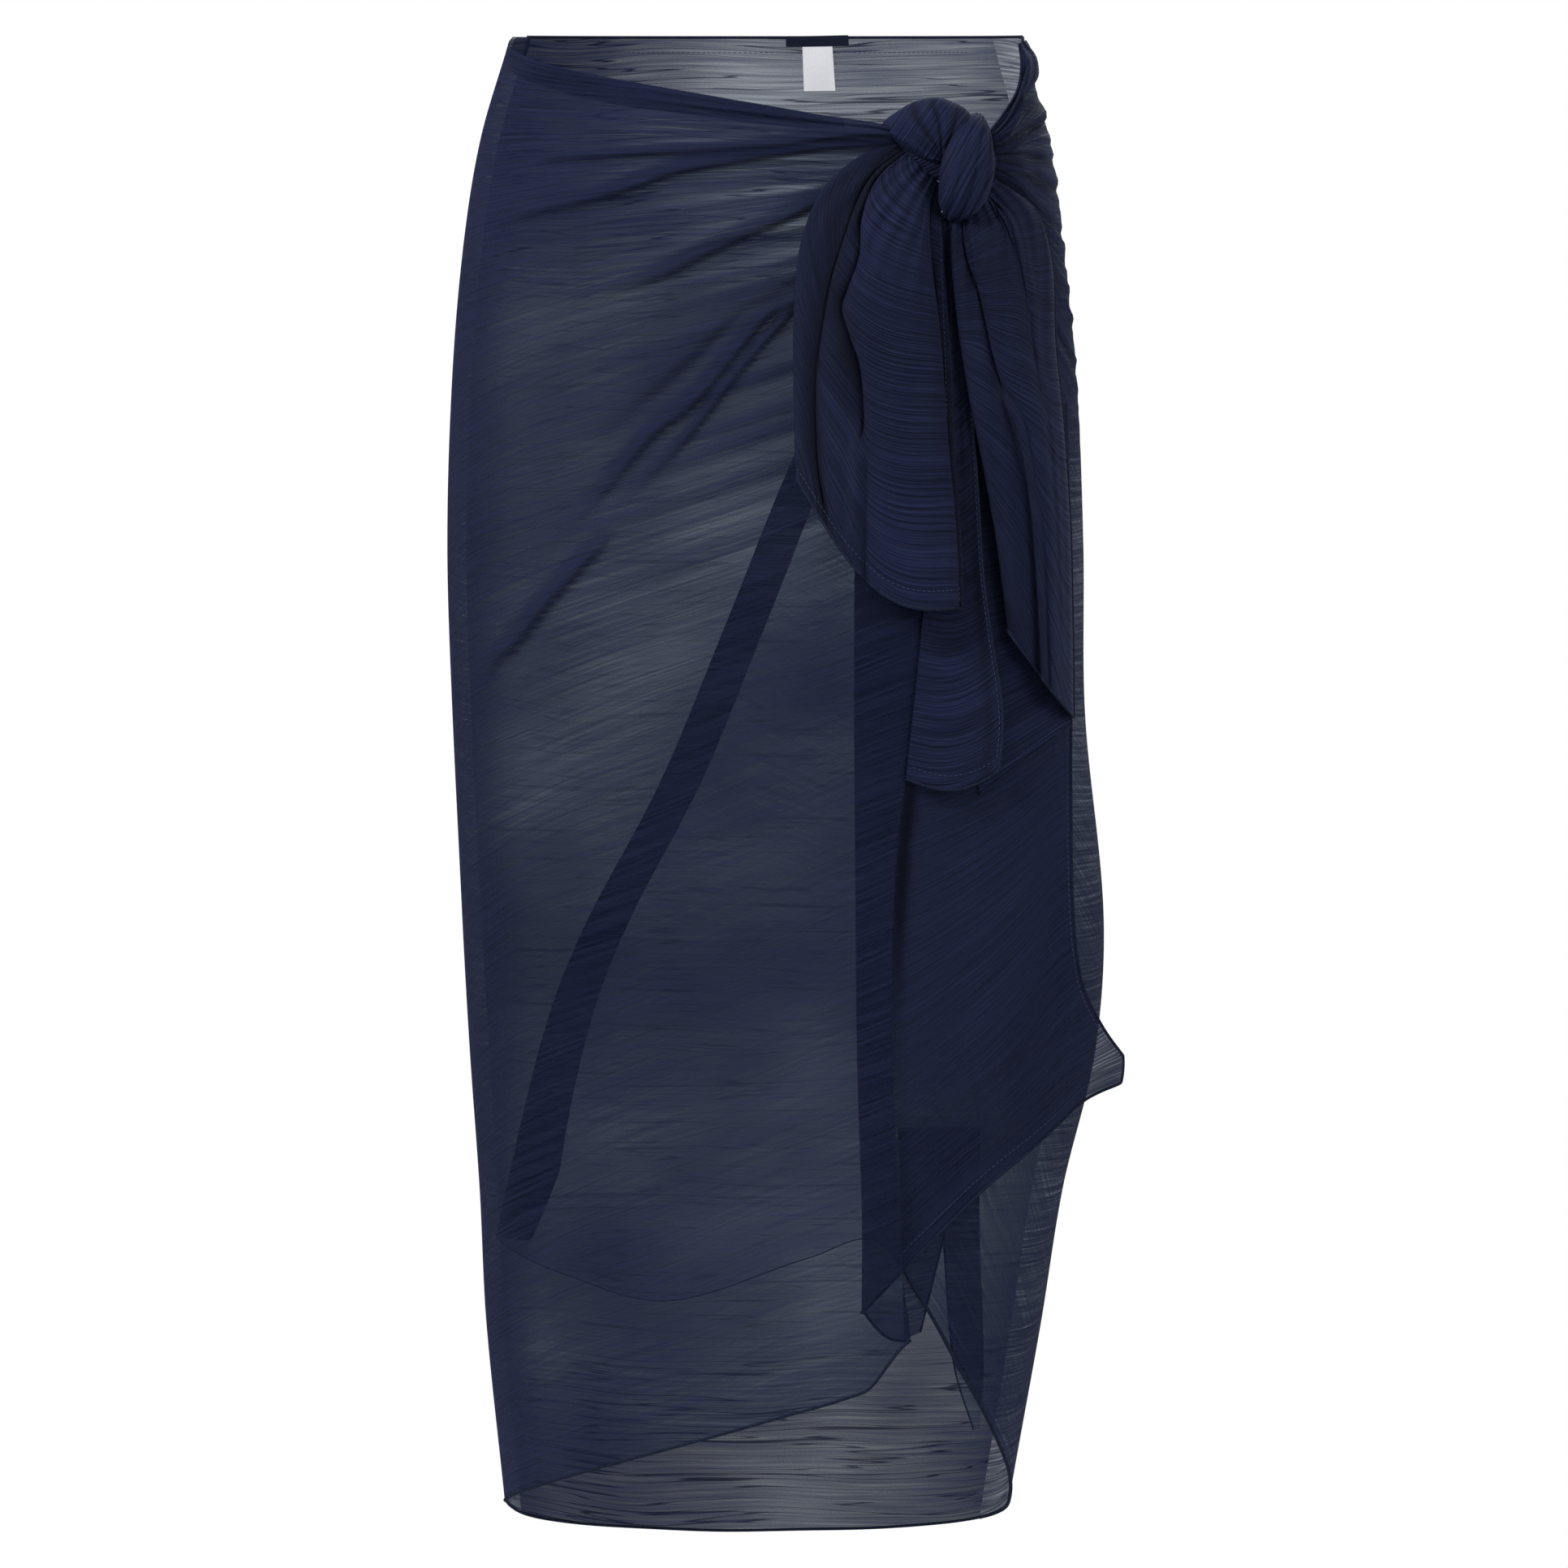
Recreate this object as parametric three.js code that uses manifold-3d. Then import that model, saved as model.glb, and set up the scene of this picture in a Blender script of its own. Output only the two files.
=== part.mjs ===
// Wrap skirt: one rectangle of crinkled cloth wound round a hollow waist and tied by its two top corners.
// Millimetres, +Z up, the front faces -Y and +X is to the right of someone who looks at the front.
// The origin is the middle of the waist, where the wearer holds the skirt up.
import * as THREE from "three";
import { mergeVertices } from "three/addons/utils/BufferGeometryUtils.js";
import Module from "manifold-3d";

const wasm = await Module();
wasm.setup();

// Cloth sizes
const WALL = 1.2; // thickness of the cloth wall
const HEM_WALL = 2.0; // thickness of the rolled hem
const HEM_WIDTH = 3.5; // how far the rolled hem reaches in from the cloth's edge
const SEAM_GAP = 0.6; // clearance between pieces that meet edge to edge
const KNOT_GAP = 0.4; // clearance between the knot and the cloth that runs into it
const DROP = 866; // from the waist to the hem, down each side
const BACK_RISE = 12; // the waist edge is this much higher at the centre back than at the sides
const BACK_DIP = 29; // the hem hangs this much lower at the centre back than at the sides

// Angles round the body, in degrees from the centre front, positive to the right
const RIGHT_SEAM = 115; // where the back stretch gives way to the under stretch
const LEFT_SEAM = -105; // where the outer stretch gives way to the back stretch
const SIDE = 90;

// How far the middle of each layer of cloth lies outside the form
const OUTER_LIFT = 4; // the outer stretch, clear of the under stretch
const FOLD_RADIUS = 1.4; // radius of the turns of a pleat
const CASCADE_LIFT = 4.2; // the cascade, which starts as the lowest layer of the pleat
const PLEAT_LIFT = CASCADE_LIFT + 2 * FOLD_RADIUS; // the pleat's middle layer
const RIDGE_LIFT = PLEAT_LIFT + 2 * FOLD_RADIUS; // the outer stretch where it covers the pleat
const PLEAT_START = 0.26; // the pleat and the cascade start this share of the way down
const TURN_STEPS = [45, 90, 135, 180]; // degrees round the turn of a fold
const TURN_RADIUS = 1.1; // radius of the turn of an edge that is folded in
const CASCADE_WIDTH = 150; // from the pleat's inner turn to the cascade's free edge
const CORNER_FLARE = 14; // the cascade's lowest corner stands out this far
const CORNER_RISE = 21; // the pleat's foot is rounded: its ridge ends this much above the line of the hem
const SWAY = 3; // height of the soft fold down the cascade
const TURN_DEPTH = 17; // the waist edge is folded in this far
const LEAD_STRIP = 26; // the under stretch's free edge is folded in this far

// The form that the cloth hangs on: half a front and half a back ellipse at each height
const FORM = [
  { z: 20, left: -145, right: 146, front: 97, back: 111 },
  { z: 0, left: -148.5, right: 150, front: 100, back: 115 },
  { z: -60, left: -166, right: 167, front: 108, back: 124 },
  { z: -120, left: -176, right: 175, front: 114, back: 133 },
  { z: -200, left: -183, right: 183, front: 118, back: 140 },
  { z: -300, left: -186, right: 187, front: 118, back: 138 },
  { z: -400, left: -183, right: 188, front: 117, back: 130 },
  { z: -520, left: -177, right: 199, front: 116, back: 124 },
  { z: -600, left: -172, right: 194, front: 115, back: 121 },
  { z: -680, left: -166.5, right: 175, front: 113, back: 118 },
  { z: -760, left: -163, right: 162, front: 110, back: 114 },
  { z: -866, left: -152.5, right: 143, front: 104, back: 108 },
  { z: -900, left: -149, right: 138, front: 102, back: 106 },
];

// Where the rows of the outer stretch end: at the knot, and below it along the pleat's ridge.
// row is the share of the way down the cloth.
const RIDGE = [
  { row: 0, x: 84, z: -66 },
  { row: 0.08, x: 86, z: -78 },
  { row: 0.17, x: 92, z: -100 },
  { row: 0.27, x: 101, z: -142 },
  { row: 0.36, x: 102, z: -205 },
  { row: 0.47, x: 98, z: -289 },
  { row: 0.585, x: 88, z: -385 },
  { row: 0.695, x: 75, z: -484 },
  { row: 0.806, x: 72, z: -587 },
  { row: 0.917, x: 77, z: -692 },
  { row: 1, x: 82, z: -784 },
];

// The pleat's inner turn, where the cloth sets off to the right again as the cascade
const INNER_TURN = [
  { row: 0.2, x: 78, z: -112 },
  { row: 0.28, x: 66, z: -150 },
  { row: 0.36, x: 56, z: -215 },
  { row: 0.47, x: 53, z: -300 },
  { row: 0.585, x: 52.5, z: -400 },
  { row: 0.695, x: 53, z: -500 },
  { row: 0.806, x: 54, z: -600 },
  { row: 0.917, x: 57, z: -690 },
  { row: 1, x: 57, z: -746 },
];

// The cascade's free edge, down the right side to its corner
const CASCADE_EDGE = [
  { row: 0.2, x: 118, z: -112 },
  { row: 0.28, x: 146, z: -160 },
  { row: 0.4, x: 168, z: -245 },
  { row: 0.55, x: 178, z: -345 },
  { row: 0.7, x: 178, z: -440 },
  { row: 0.85, x: 180, z: -532 },
  { row: 0.94, x: 190, z: -584 },
  { row: 1, x: 205, z: -618 },
];

// The under stretch's rows end at the knot, and below it along the folded free edge
const LEAD = [
  { row: 0, x: 122, z: -66 },
  { row: 0.15, x: 122, z: -88 },
  { row: 0.27, x: 108, z: -112 },
  { row: 0.34, x: 72, z: -140 },
  { row: 0.46, x: 18, z: -251 },
  { row: 0.58, x: -20, z: -344 },
  { row: 0.7, x: -60, z: -440 },
  { row: 0.82, x: -106, z: -527 },
  { row: 0.9, x: -130, z: -590 },
  { row: 1, x: -159, z: -708 },
];

// How far the rows of the under stretch have risen, from the right side to the free edge. along is the share
// of the way, and top and foot are shares of the rise for the waist edge and for the hem.
const UNDER_ROWS = [
  { along: 0, top: 0, foot: 0 },
  { along: 0.15, top: 0.04, foot: 0.24 },
  { along: 0.27, top: 0.12, foot: 0.53 },
  { along: 0.35, top: 0.18, foot: 0.8 },
  { along: 0.42, top: 0.25, foot: 1.02 },
  { along: 0.5, top: 0.33, foot: 0.96 },
  { along: 0.67, top: 0.53, foot: 0.8 },
  { along: 0.82, top: 0.73, foot: 0.88 },
  { along: 1, top: 1, foot: 1 },
];
const KNOT_LIFT = 12; // the under stretch's top rows leave the form by this much on their way into the knot

// The narrow strip that hangs inside the under stretch at the lower right
const INNER_CORNER = [
  { z: -640, left: 99, right: 125 },
  { z: -700, left: 103, right: 125 },
  { z: -779, left: 110, right: 128 },
  { z: -818, left: 122, right: 126 },
];
const INNER_LIFT = -2.5;

// Folds that the knot pulls across the outer stretch: from the knot's side to the far end, by way of a bend
const OUTER_FOLDS = [
  { x0: 66, z0: -68, x1: -10, z1: -62, x2: -100, z2: -66, width: 9, rise: 5 },
  { x0: 66, z0: -72, x1: -20, z1: -80, x2: -150, z2: -112, width: 12, rise: 7 },
  { x0: 62, z0: -84, x1: 0, z1: -114, x2: -140, z2: -190, width: 14, rise: 6.5 },
  { x0: 60, z0: -104, x1: -10, z1: -155, x2: -130, z2: -260, width: 15, rise: 5.5 },
  { x0: 56, z0: -130, x1: -30, z1: -232, x2: -120, z2: -318, width: 14, rise: 6.5 },
  { x0: 50, z0: -165, x1: -50, z1: -275, x2: -172, z2: -385, width: 15, rise: 6 },
];

// Folds that the knot pulls across the under stretch, to the right side
const UNDER_FOLDS = [
  { x0: 130, z0: -70, x1: 147, z1: -42, x2: 153, z2: -14, width: 10, rise: 6.5 },
  { x0: 132, z0: -78, x1: 152, z1: -68, x2: 168, z2: -62, width: 8, rise: 3.5 },
  { x0: 132, z0: -88, x1: 156, z1: -88, x2: 174, z2: -94, width: 9, rise: 4 },
  { x0: 132, z0: -98, x1: 160, z1: -116, x2: 178, z2: -142, width: 10, rise: 4 },
];

// The two ends of the tie. Each row has a section's two ends and how far it stands off the form.
const LEFT_END = [
  { row: 0, leftX: 74, leftZ: -72, rightX: 104, rightZ: -98, lift: 16 },
  { row: 0.06, leftX: 59, leftZ: -80, rightX: 102, rightZ: -112, lift: 20 },
  { row: 0.14, leftX: 43, leftZ: -92, rightX: 103, rightZ: -128, lift: 22 },
  { row: 0.22, leftX: 31, leftZ: -106, rightX: 104, rightZ: -143, lift: 21.5 },
  { row: 0.35, leftX: 21, leftZ: -132, rightX: 106, rightZ: -172, lift: 20 },
  { row: 0.5, leftX: 17, leftZ: -165, rightX: 108, rightZ: -206, lift: 19 },
  { row: 0.7, leftX: 16.5, leftZ: -207, rightX: 110, rightZ: -255, lift: 18.5 },
  { row: 0.85, leftX: 17, leftZ: -239, rightX: 113, rightZ: -296, lift: 18 },
  { row: 1, leftX: 18, leftZ: -268, rightX: 115, rightZ: -341, lift: 18 },
];
const RIGHT_END = [
  { row: 0, leftX: 110, leftZ: -112, rightX: 132, rightZ: -92, lift: 19 },
  { row: 0.07, leftX: 110, leftZ: -128, rightX: 146, rightZ: -108, lift: 18 },
  { row: 0.2, leftX: 109, leftZ: -168, rightX: 165, rightZ: -150, lift: 15 },
  { row: 0.4, leftX: 106, leftZ: -240, rightX: 177, rightZ: -228, lift: 13.5 },
  { row: 0.6, leftX: 99, leftZ: -312, rightX: 180.5, rightZ: -300, lift: 13 },
  { row: 0.82, leftX: 89, leftZ: -388, rightX: 179, rightZ: -374, lift: 12.5 },
  { row: 1, leftX: 82, leftZ: -437, rightX: 176, rightZ: -414, lift: 12 },
];

// Folds down the ends of the tie. top and foot are shares of the way across, and rise is how far the crest
// stands out. lean is how far it falls to the right, and from and to are the rows between which it shows.
const LEFT_END_FOLDS = [
  { top: 0.1, foot: 0.05, width: 0.07, rise: 3, lean: -1, from: -0.3, to: 1.3 },
  { top: 0.35, foot: 0.26, width: 0.1, rise: 8, lean: -5, from: -0.2, to: 1.25 },
  { top: 0.6, foot: 0.46, width: 0.05, rise: -5, lean: 2, from: 0.1, to: 0.85 },
  { top: 0.74, foot: 0.72, width: 0.17, rise: 12, lean: -2, from: -0.2, to: 1.2 },
];
const RIGHT_END_FOLDS = [
  { top: 0.15, foot: 0.12, width: 0.1, rise: 3, lean: 0, from: -0.2, to: 1.3 },
  { top: 0.3, foot: 0.62, width: 0.06, rise: 6, lean: 3, from: -0.1, to: 1.3 },
  { top: 0.72, foot: 0.86, width: 0.14, rise: 9, lean: -5, from: -0.2, to: 1.2 },
];

// The knot's bands, as points down the middle of each, with the half width and half thickness there:
// the cloth that runs through it from side to side, the band over its upper left and the band round its right
const KNOT_THROUGH = [
  { x: 72, y: -101, z: -76, wide: 12, thick: 6 },
  { x: 86, y: -106, z: -80, wide: 17, thick: 9 },
  { x: 103, y: -106, z: -84, wide: 19, thick: 10 },
  { x: 118, y: -99, z: -84, wide: 16, thick: 9 },
  { x: 129, y: -88, z: -80, wide: 11, thick: 6 },
];
const KNOT_OVER = [
  { x: 118, y: -104, z: -92, wide: 11, thick: 8 },
  { x: 109, y: -120, z: -75, wide: 15, thick: 8.5 },
  { x: 96, y: -124, z: -66, wide: 17.5, thick: 8.5 },
  { x: 81, y: -116, z: -62, wide: 15.5, thick: 7 },
  { x: 72, y: -103, z: -64, wide: 10, thick: 5 },
];
const KNOT_ROUND = [
  { x: 99, y: -108, z: -64, wide: 11, thick: 8 },
  { x: 110, y: -125, z: -64, wide: 14, thick: 8.5 },
  { x: 117, y: -130, z: -80, wide: 16, thick: 9 },
  { x: 114, y: -125, z: -100, wide: 15.5, thick: 9 },
  { x: 107, y: -110, z: -111, wide: 11, thick: 8 },
];
const KNOT_CENTRE = { x: 103, y: -86, z: -86 };
const KNOT_PLEATS = 7; // gathers across each band
const KNOT_PLEAT_DEPTH = 0.9;

// Labels inside the centre back
const LABEL_CENTRE = 31; // how far right of the middle
const WAIST_LABEL = { width: 39, top: 12.4, foot: 6, lift: -2.6, thick: 1.2 };
const CARE_LABEL = { width: 19, top: 5.6, foot: -20.6, lift: -2.6, thick: 1 };

const radians = THREE.MathUtils.degToRad;
const degrees = THREE.MathUtils.radToDeg;
const sine = (angle) => Math.sin(radians(angle));
const mix = THREE.MathUtils.lerp;
const ease = THREE.MathUtils.smoothstep;
const clamp = THREE.MathUtils.clamp;

// A table's columns at a value of its first column, on a smooth curve through its rows
function read(table, at) {
  const key = Object.keys(table[0])[0];
  const falling = table[0][key] > table[table.length - 1][key];
  const order = falling ? -1 : 1;
  let i = table.findIndex((r) => (r[key] - at) * order > 0) - 1;
  if (i === -2) i = table.length - 2;
  i = clamp(i, 0, table.length - 2);
  const [a, b] = [table[i], table[i + 1]];
  const [before, after] = [table[Math.max(i - 1, 0)], table[Math.min(i + 2, table.length - 1)]];
  const span = b[key] - a[key];
  const t = clamp((at - a[key]) / span, 0, 1);
  const found = {};
  for (const name of Object.keys(a)) {
    const slopeA = b[key] === before[key] ? 0 : ((b[name] - before[name]) / (b[key] - before[key])) * span;
    const slopeB = after[key] === a[key] ? 0 : ((after[name] - a[name]) / (after[key] - a[key])) * span;
    const [t2, t3] = [t * t, t * t * t];
    found[name] =
      (2 * t3 - 3 * t2 + 1) * a[name] + (t3 - 2 * t2 + t) * slopeA +
      (3 * t2 - 2 * t3) * b[name] + (t3 - t2) * slopeB;
  }
  return found;
}

// A point of the form at an angle and height, moved straight out by lift
function onForm(angle, z, lift) {
  const { left, right, front, back } = read(FORM, z);
  const half = (right - left) / 2;
  const deep = Math.cos(radians(angle)) > 0 ? front : back;
  const [s, c] = [Math.sin(radians(angle)), Math.cos(radians(angle))];
  const out = new THREE.Vector2(s / half, -c / deep).normalize();
  return new THREE.Vector3((left + right) / 2 + half * s + out.x * lift, -deep * c + out.y * lift, z);
}

// The angle on the front of the form at which a point with that lift has that x
function angleAt(x, z, lift = 0) {
  const { left, right } = read(FORM, z);
  const half = (right - left) / 2 + lift;
  return degrees(Math.asin(clamp((x - (left + right) / 2) / half, -0.999, 0.999)));
}

// How far a point of the front is raised by folds that run from x0, z0 past x1, z1 to x2, z2
function foldRise(folds, x, z) {
  let rise = 0;
  for (const f of folds) {
    let nearest = Infinity;
    let along = 0;
    for (const [from, to, start] of [[[f.x0, f.z0], [f.x1, f.z1], 0], [[f.x1, f.z1], [f.x2, f.z2], 0.5]]) {
      const [dx, dz] = [to[0] - from[0], to[1] - from[1]];
      const t = clamp(((x - from[0]) * dx + (z - from[1]) * dz) / (dx * dx + dz * dz), 0, 1);
      const away = Math.hypot(x - from[0] - t * dx, z - from[1] - t * dz);
      if (away < nearest) [nearest, along] = [away, start + t / 2];
    }
    const spread = f.width * mix(0.7, 1.25, along);
    const fade = ease(along, -0.2, 0.15) * (1 - ease(along, 0.75, 1.02));
    rise += f.rise * fade * Math.exp(-((nearest / spread) ** 2));
  }
  return rise;
}

// Height of the waist edge and of the hem at the side and back
const topAt = (angle) => Math.max(-Math.cos(radians(angle)), 0) * BACK_RISE;
const hemAt = (angle) => -DROP - Math.max(-Math.cos(radians(angle)), 0) ** 0.8 * BACK_DIP;

// A closed wall from a grid of points down its middle, thicker at the edges that have a rolled hem
function wallOf(rows, thickness) {
  const [m, n] = [rows.length, rows[0].length];
  const positions = [];
  for (const side of [0.5, -0.5])
    for (let j = 0; j < m; j++)
      for (let i = 0; i < n; i++) {
        const across = rows[j][Math.min(i + 1, n - 1)].clone().sub(rows[j][Math.max(i - 1, 0)]);
        const down = rows[Math.min(j + 1, m - 1)][i].clone().sub(rows[Math.max(j - 1, 0)][i]);
        const normal = down.cross(across).normalize();
        const p = rows[j][i].clone().addScaledVector(normal, side * thickness(j, i));
        positions.push(p.x, p.y, p.z);
      }
  const index = [];
  const back = m * n;
  const quad = (a, b, c, d) => index.push(a, b, d, b, c, d);
  for (let j = 0; j < m - 1; j++)
    for (let i = 0; i < n - 1; i++) {
      const [a, b, c, d] = [j * n + i, (j + 1) * n + i, (j + 1) * n + i + 1, j * n + i + 1];
      quad(a, b, c, d);
      quad(back + a, back + d, back + c, back + b);
    }
  const rim = [];
  for (let i = 0; i < n - 1; i++) rim.push(i);
  for (let j = 0; j < m - 1; j++) rim.push(j * n + n - 1);
  for (let i = n - 1; i > 0; i--) rim.push((m - 1) * n + i);
  for (let j = m - 1; j > 0; j--) rim.push(j * n);
  rim.forEach((a, k) => {
    const b = rim[(k + 1) % rim.length];
    quad(a, b, back + b, back + a);
  });
  const geometry = new THREE.BufferGeometry();
  geometry.setAttribute("position", new THREE.Float32BufferAttribute(positions, 3));
  geometry.setIndex(index);
  return geometry;
}

// Values from 0 to 1, closer together near 0 where crowd is above 1, with one more just inside each hem
function stations(count, length, { first = true, last = true, crowd = 1 } = {}) {
  const values = Array.from({ length: count + 1 }, (_, i) => (i / count) ** crowd);
  if (first) values.splice(1, 0, HEM_WIDTH / length);
  if (last) values.splice(values.length - 1, 0, 1 - HEM_WIDTH / length);
  return values;
}

const hemmed = (edges) => (j, i) => (edges(j, i) ? HEM_WALL : WALL);

function solidOf(geometry) {
  const merged = mergeVertices(geometry);
  return new wasm.Manifold(new wasm.Mesh({
    numProp: 3,
    vertProperties: merged.attributes.position.array,
    triVerts: new Uint32Array(merged.index.array),
  }));
}

function geometryOf(solid) {
  const mesh = solid.getMesh();
  const geometry = new THREE.BufferGeometry();
  geometry.setAttribute("position", new THREE.BufferAttribute(mesh.vertProperties.slice(), 3));
  geometry.setIndex(new THREE.BufferAttribute(mesh.triVerts.slice(), 1));
  return geometry;
}

// The largest part of what is left of a geometry outside some solids
function cutBy(geometry, ...cutters) {
  let solid = solidOf(geometry);
  for (const cutter of cutters) solid = solid.subtract(cutter);
  return geometryOf(solid.decompose().sort((a, b) => b.volume() - a.volume())[0]);
}

// Back stretch, round the back from one side seam to the other
function backStretch() {
  const rows = stations(15, DROP);
  const edge = degrees(SEAM_GAP / read(FORM, 0).front);
  const across = stations(16, DROP, { first: false, last: false });
  const grid = rows.map((v) => across.map((u) => {
    const angle = mix(RIGHT_SEAM + edge, 360 + LEFT_SEAM - edge, u);
    const z = mix(topAt(angle), hemAt(angle), v);
    const wave = 2.2 * ease(v, 0.8, 1) * Math.sin(radians(angle * 9)) * Math.sin(Math.PI * u);
    return onForm(angle, z, wave);
  }));
  return wallOf(grid, hemmed((j) => j < 2 || j > rows.length - 3));
}

// A point of the outer stretch. u runs from the left seam to the ridge, v from the waist to the hem.
function outerPoint(u, v, drop = 0) {
  const end = read(RIDGE, v);
  const stop = angleAt(end.x, end.z, RIDGE_LIFT);
  const angle = mix(LEFT_SEAM, stop, u);
  const share = clamp((angle + SIDE) / (stop + SIDE), 0, 1);
  const power = mix(0.9, 1.3, ease(v, 0, 0.25));
  const side = mix(topAt(angle), hemAt(angle), v);
  const rise = CORNER_RISE * ease(u, 0.93, 1) * ease(v, 0.94, 1);
  const z = mix(side, end.z, share ** power) + rise;
  const inner = read(INNER_TURN, Math.max(v, 0.2));
  const overPleat = angleAt(inner.x, inner.z) - 6;
  const plain = OUTER_LIFT * ease(angle, LEFT_SEAM + 5, LEFT_SEAM + 25);
  const lift = mix(plain, RIDGE_LIFT, ease(angle, overPleat - 12, overPleat));
  const p = onForm(angle, z, 0);
  const folds = foldRise(OUTER_FOLDS, p.x, p.z) * ease(angle, -95, -72) * (1 - ease(u, 0.9, 1));
  return onForm(angle, z, lift - drop + folds);
}

// The pleat's ridge at a row, rounded off at the foot
function ridgeAt(v) {
  const end = read(RIDGE, v);
  return { x: end.x, z: end.z + CORNER_RISE * ease(v, 0.94, 1) };
}

// A point of the pleat's middle layer. share runs from the ridge to the inner turn.
function pleatPoint(share, v) {
  const ridge = ridgeAt(v);
  const inner = read(INNER_TURN, v);
  const [from, to] = [angleAt(ridge.x, ridge.z, RIDGE_LIFT), angleAt(inner.x, inner.z, PLEAT_LIFT)];
  return onForm(mix(from, to, share), mix(ridge.z, inner.z, share), PLEAT_LIFT);
}

// Outer stretch: across the front from the left seam to the pleat's ridge, round it and half way back
function outerStretch() {
  const rows = stations(27, DROP, { crowd: 1.35 });
  const across = stations(25, DROP, { first: false, last: false });
  const grid = rows.map((v) => {
    const line = across.map((u) => outerPoint(u, v));
    const end = ridgeAt(v);
    const ridge = angleAt(end.x, end.z, RIDGE_LIFT);
    const reach = degrees(FOLD_RADIUS / read(FORM, end.z).right);
    for (const t of TURN_STEPS) {
      const [s, c] = [Math.sin(radians(t)), Math.cos(radians(t))];
      line.push(onForm(ridge + reach * s, end.z, PLEAT_LIFT + FOLD_RADIUS * (1 + c)));
    }
    const open = ease(v, PLEAT_START - 0.1, PLEAT_START);
    line.push(v < PLEAT_START - 0.1
      ? onForm(ridge - reach, end.z, PLEAT_LIFT)
      : pleatPoint(mix(0.05, 0.47, open), v));
    return line;
  });
  return wallOf(grid, hemmed((j) => j < 2 || j > rows.length - 3));
}

// The waist edge of the outer stretch, folded in
function waistTurn() {
  const across = stations(22, DROP, { first: false, last: false });
  const grid = [0.5, TURN_DEPTH / 2, TURN_DEPTH].map((depth) =>
    across.map((u) => outerPoint(mix(0.03, 0.84, u), depth / DROP, 2 * TURN_RADIUS + HEM_WALL / 4)));
  return wallOf(grid, () => 1);
}

// The rest of the pleat and the cascade, which falls from the knot down the right side to a corner
function cascade() {
  const rows = stations(15, DROP * (1 - PLEAT_START), { first: false }).map((v) => mix(PLEAT_START, 1, v));
  const across = stations(11, CASCADE_WIDTH, { first: false });
  const grid = rows.map((v) => {
    const inner = read(INNER_TURN, v);
    const edge = read(CASCADE_EDGE, v);
    const at = angleAt(inner.x, inner.z, PLEAT_LIFT);
    const stop = angleAt(edge.x, edge.z, CASCADE_LIFT);
    const reach = degrees(FOLD_RADIUS / read(FORM, inner.z).right);
    const line = [pleatPoint(0.51, v), pleatPoint(0.8, v)];
    for (const t of [...TURN_STEPS].reverse()) {
      const [s, c] = [Math.sin(radians(t)), Math.cos(radians(t))];
      line.push(onForm(at - reach * s, inner.z, CASCADE_LIFT + FOLD_RADIUS * (1 - c)));
    }
    for (const u of across) {
      const flare = CORNER_FLARE * ease(v, 0.88, 1) * ease(u, 0.7, 1);
      const sway = SWAY * ease(u, 0.3, 0.55) * (1 - ease(u, 0.65, 0.9)) * ease(v, 0.4, 0.7);
      const angle = mix(at, stop, u);
      const draped = mix(u, ease(u, 0, 1), 0.6);
      const straight = (sine(angle) - sine(at)) / (sine(stop) - sine(at)); // as the foot hem hangs
      const z = mix(inner.z, edge.z, mix(draped, straight, ease(v, 0.8, 1)));
      line.push(onForm(angle, z, CASCADE_LIFT + sway + flare));
    }
    return line;
  });
  return wallOf(grid, hemmed((j, i) => j > rows.length - 3 || i > grid[0].length - 3));
}

// A point of the under stretch. u runs from the right seam to the free edge.
function underPoint(u, v) {
  const end = read(LEAD, v);
  const stop = angleAt(end.x, end.z);
  const angle = mix(RIGHT_SEAM, stop, u);
  const { top, foot } = read(UNDER_ROWS, clamp((SIDE - angle) / (SIDE - stop), 0, 1));
  const side = mix(topAt(angle), hemAt(angle), v);
  const z = mix(side, end.z, mix(top, foot, ease(v, 0.3, 0.95)));
  const p = onForm(angle, z, 0);
  const folds = foldRise(UNDER_FOLDS, p.x, p.z) * (1 - ease(v, 0.3, 0.45)) * (1 - ease(angle, 68, 92));
  return onForm(angle, z, folds + KNOT_LIFT * ease(u, 0.7, 1) * (1 - ease(v, 0.12, 0.25)));
}

// Under stretch: from the right seam under the outer stretch to its free edge, which is folded in
function underStretch() {
  const rows = stations(18, DROP, { crowd: 1.25 });
  const across = stations(18, DROP, { first: false, last: false });
  const grid = rows.map((v) => {
    const line = across.map((u) => underPoint(u, v));
    const end = read(LEAD, v);
    const at = angleAt(end.x, end.z);
    const { left, right } = read(FORM, end.z);
    const open = ease(v, 0.3, 0.42);
    const perMm = degrees(1 / ((right - left) / 2)) / Math.max(Math.cos(radians(at)), 0.45);
    for (const t of TURN_STEPS) {
      const reach = TURN_RADIUS * perMm * Math.sin(radians(t));
      const depth = TURN_RADIUS * (1 - Math.cos(radians(t)));
      line.push(onForm(at - reach, end.z, -depth));
    }
    for (const s of [0.5, 1])
      line.push(onForm(at + s * (LEAD_STRIP * open + 2) * perMm, end.z, -2 * TURN_RADIUS));
    return line;
  });
  return wallOf(grid, hemmed((j) => j < 2 || j > rows.length - 3));
}

// A narrow strip inside the under stretch at the lower right, whose corner shows below its hem
function innerCorner() {
  const rows = stations(8, INNER_CORNER[0].z - INNER_CORNER[3].z, { first: false });
  const grid = rows.map((v) => {
    const z = mix(INNER_CORNER[0].z, INNER_CORNER[3].z, v);
    const { left, right } = read(INNER_CORNER, z);
    return [0, 0.33, 0.67, 1].map((u) => onForm(angleAt(mix(left, right, u), z), z, INNER_LIFT));
  });
  return wallOf(grid, () => WALL);
}

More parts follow.
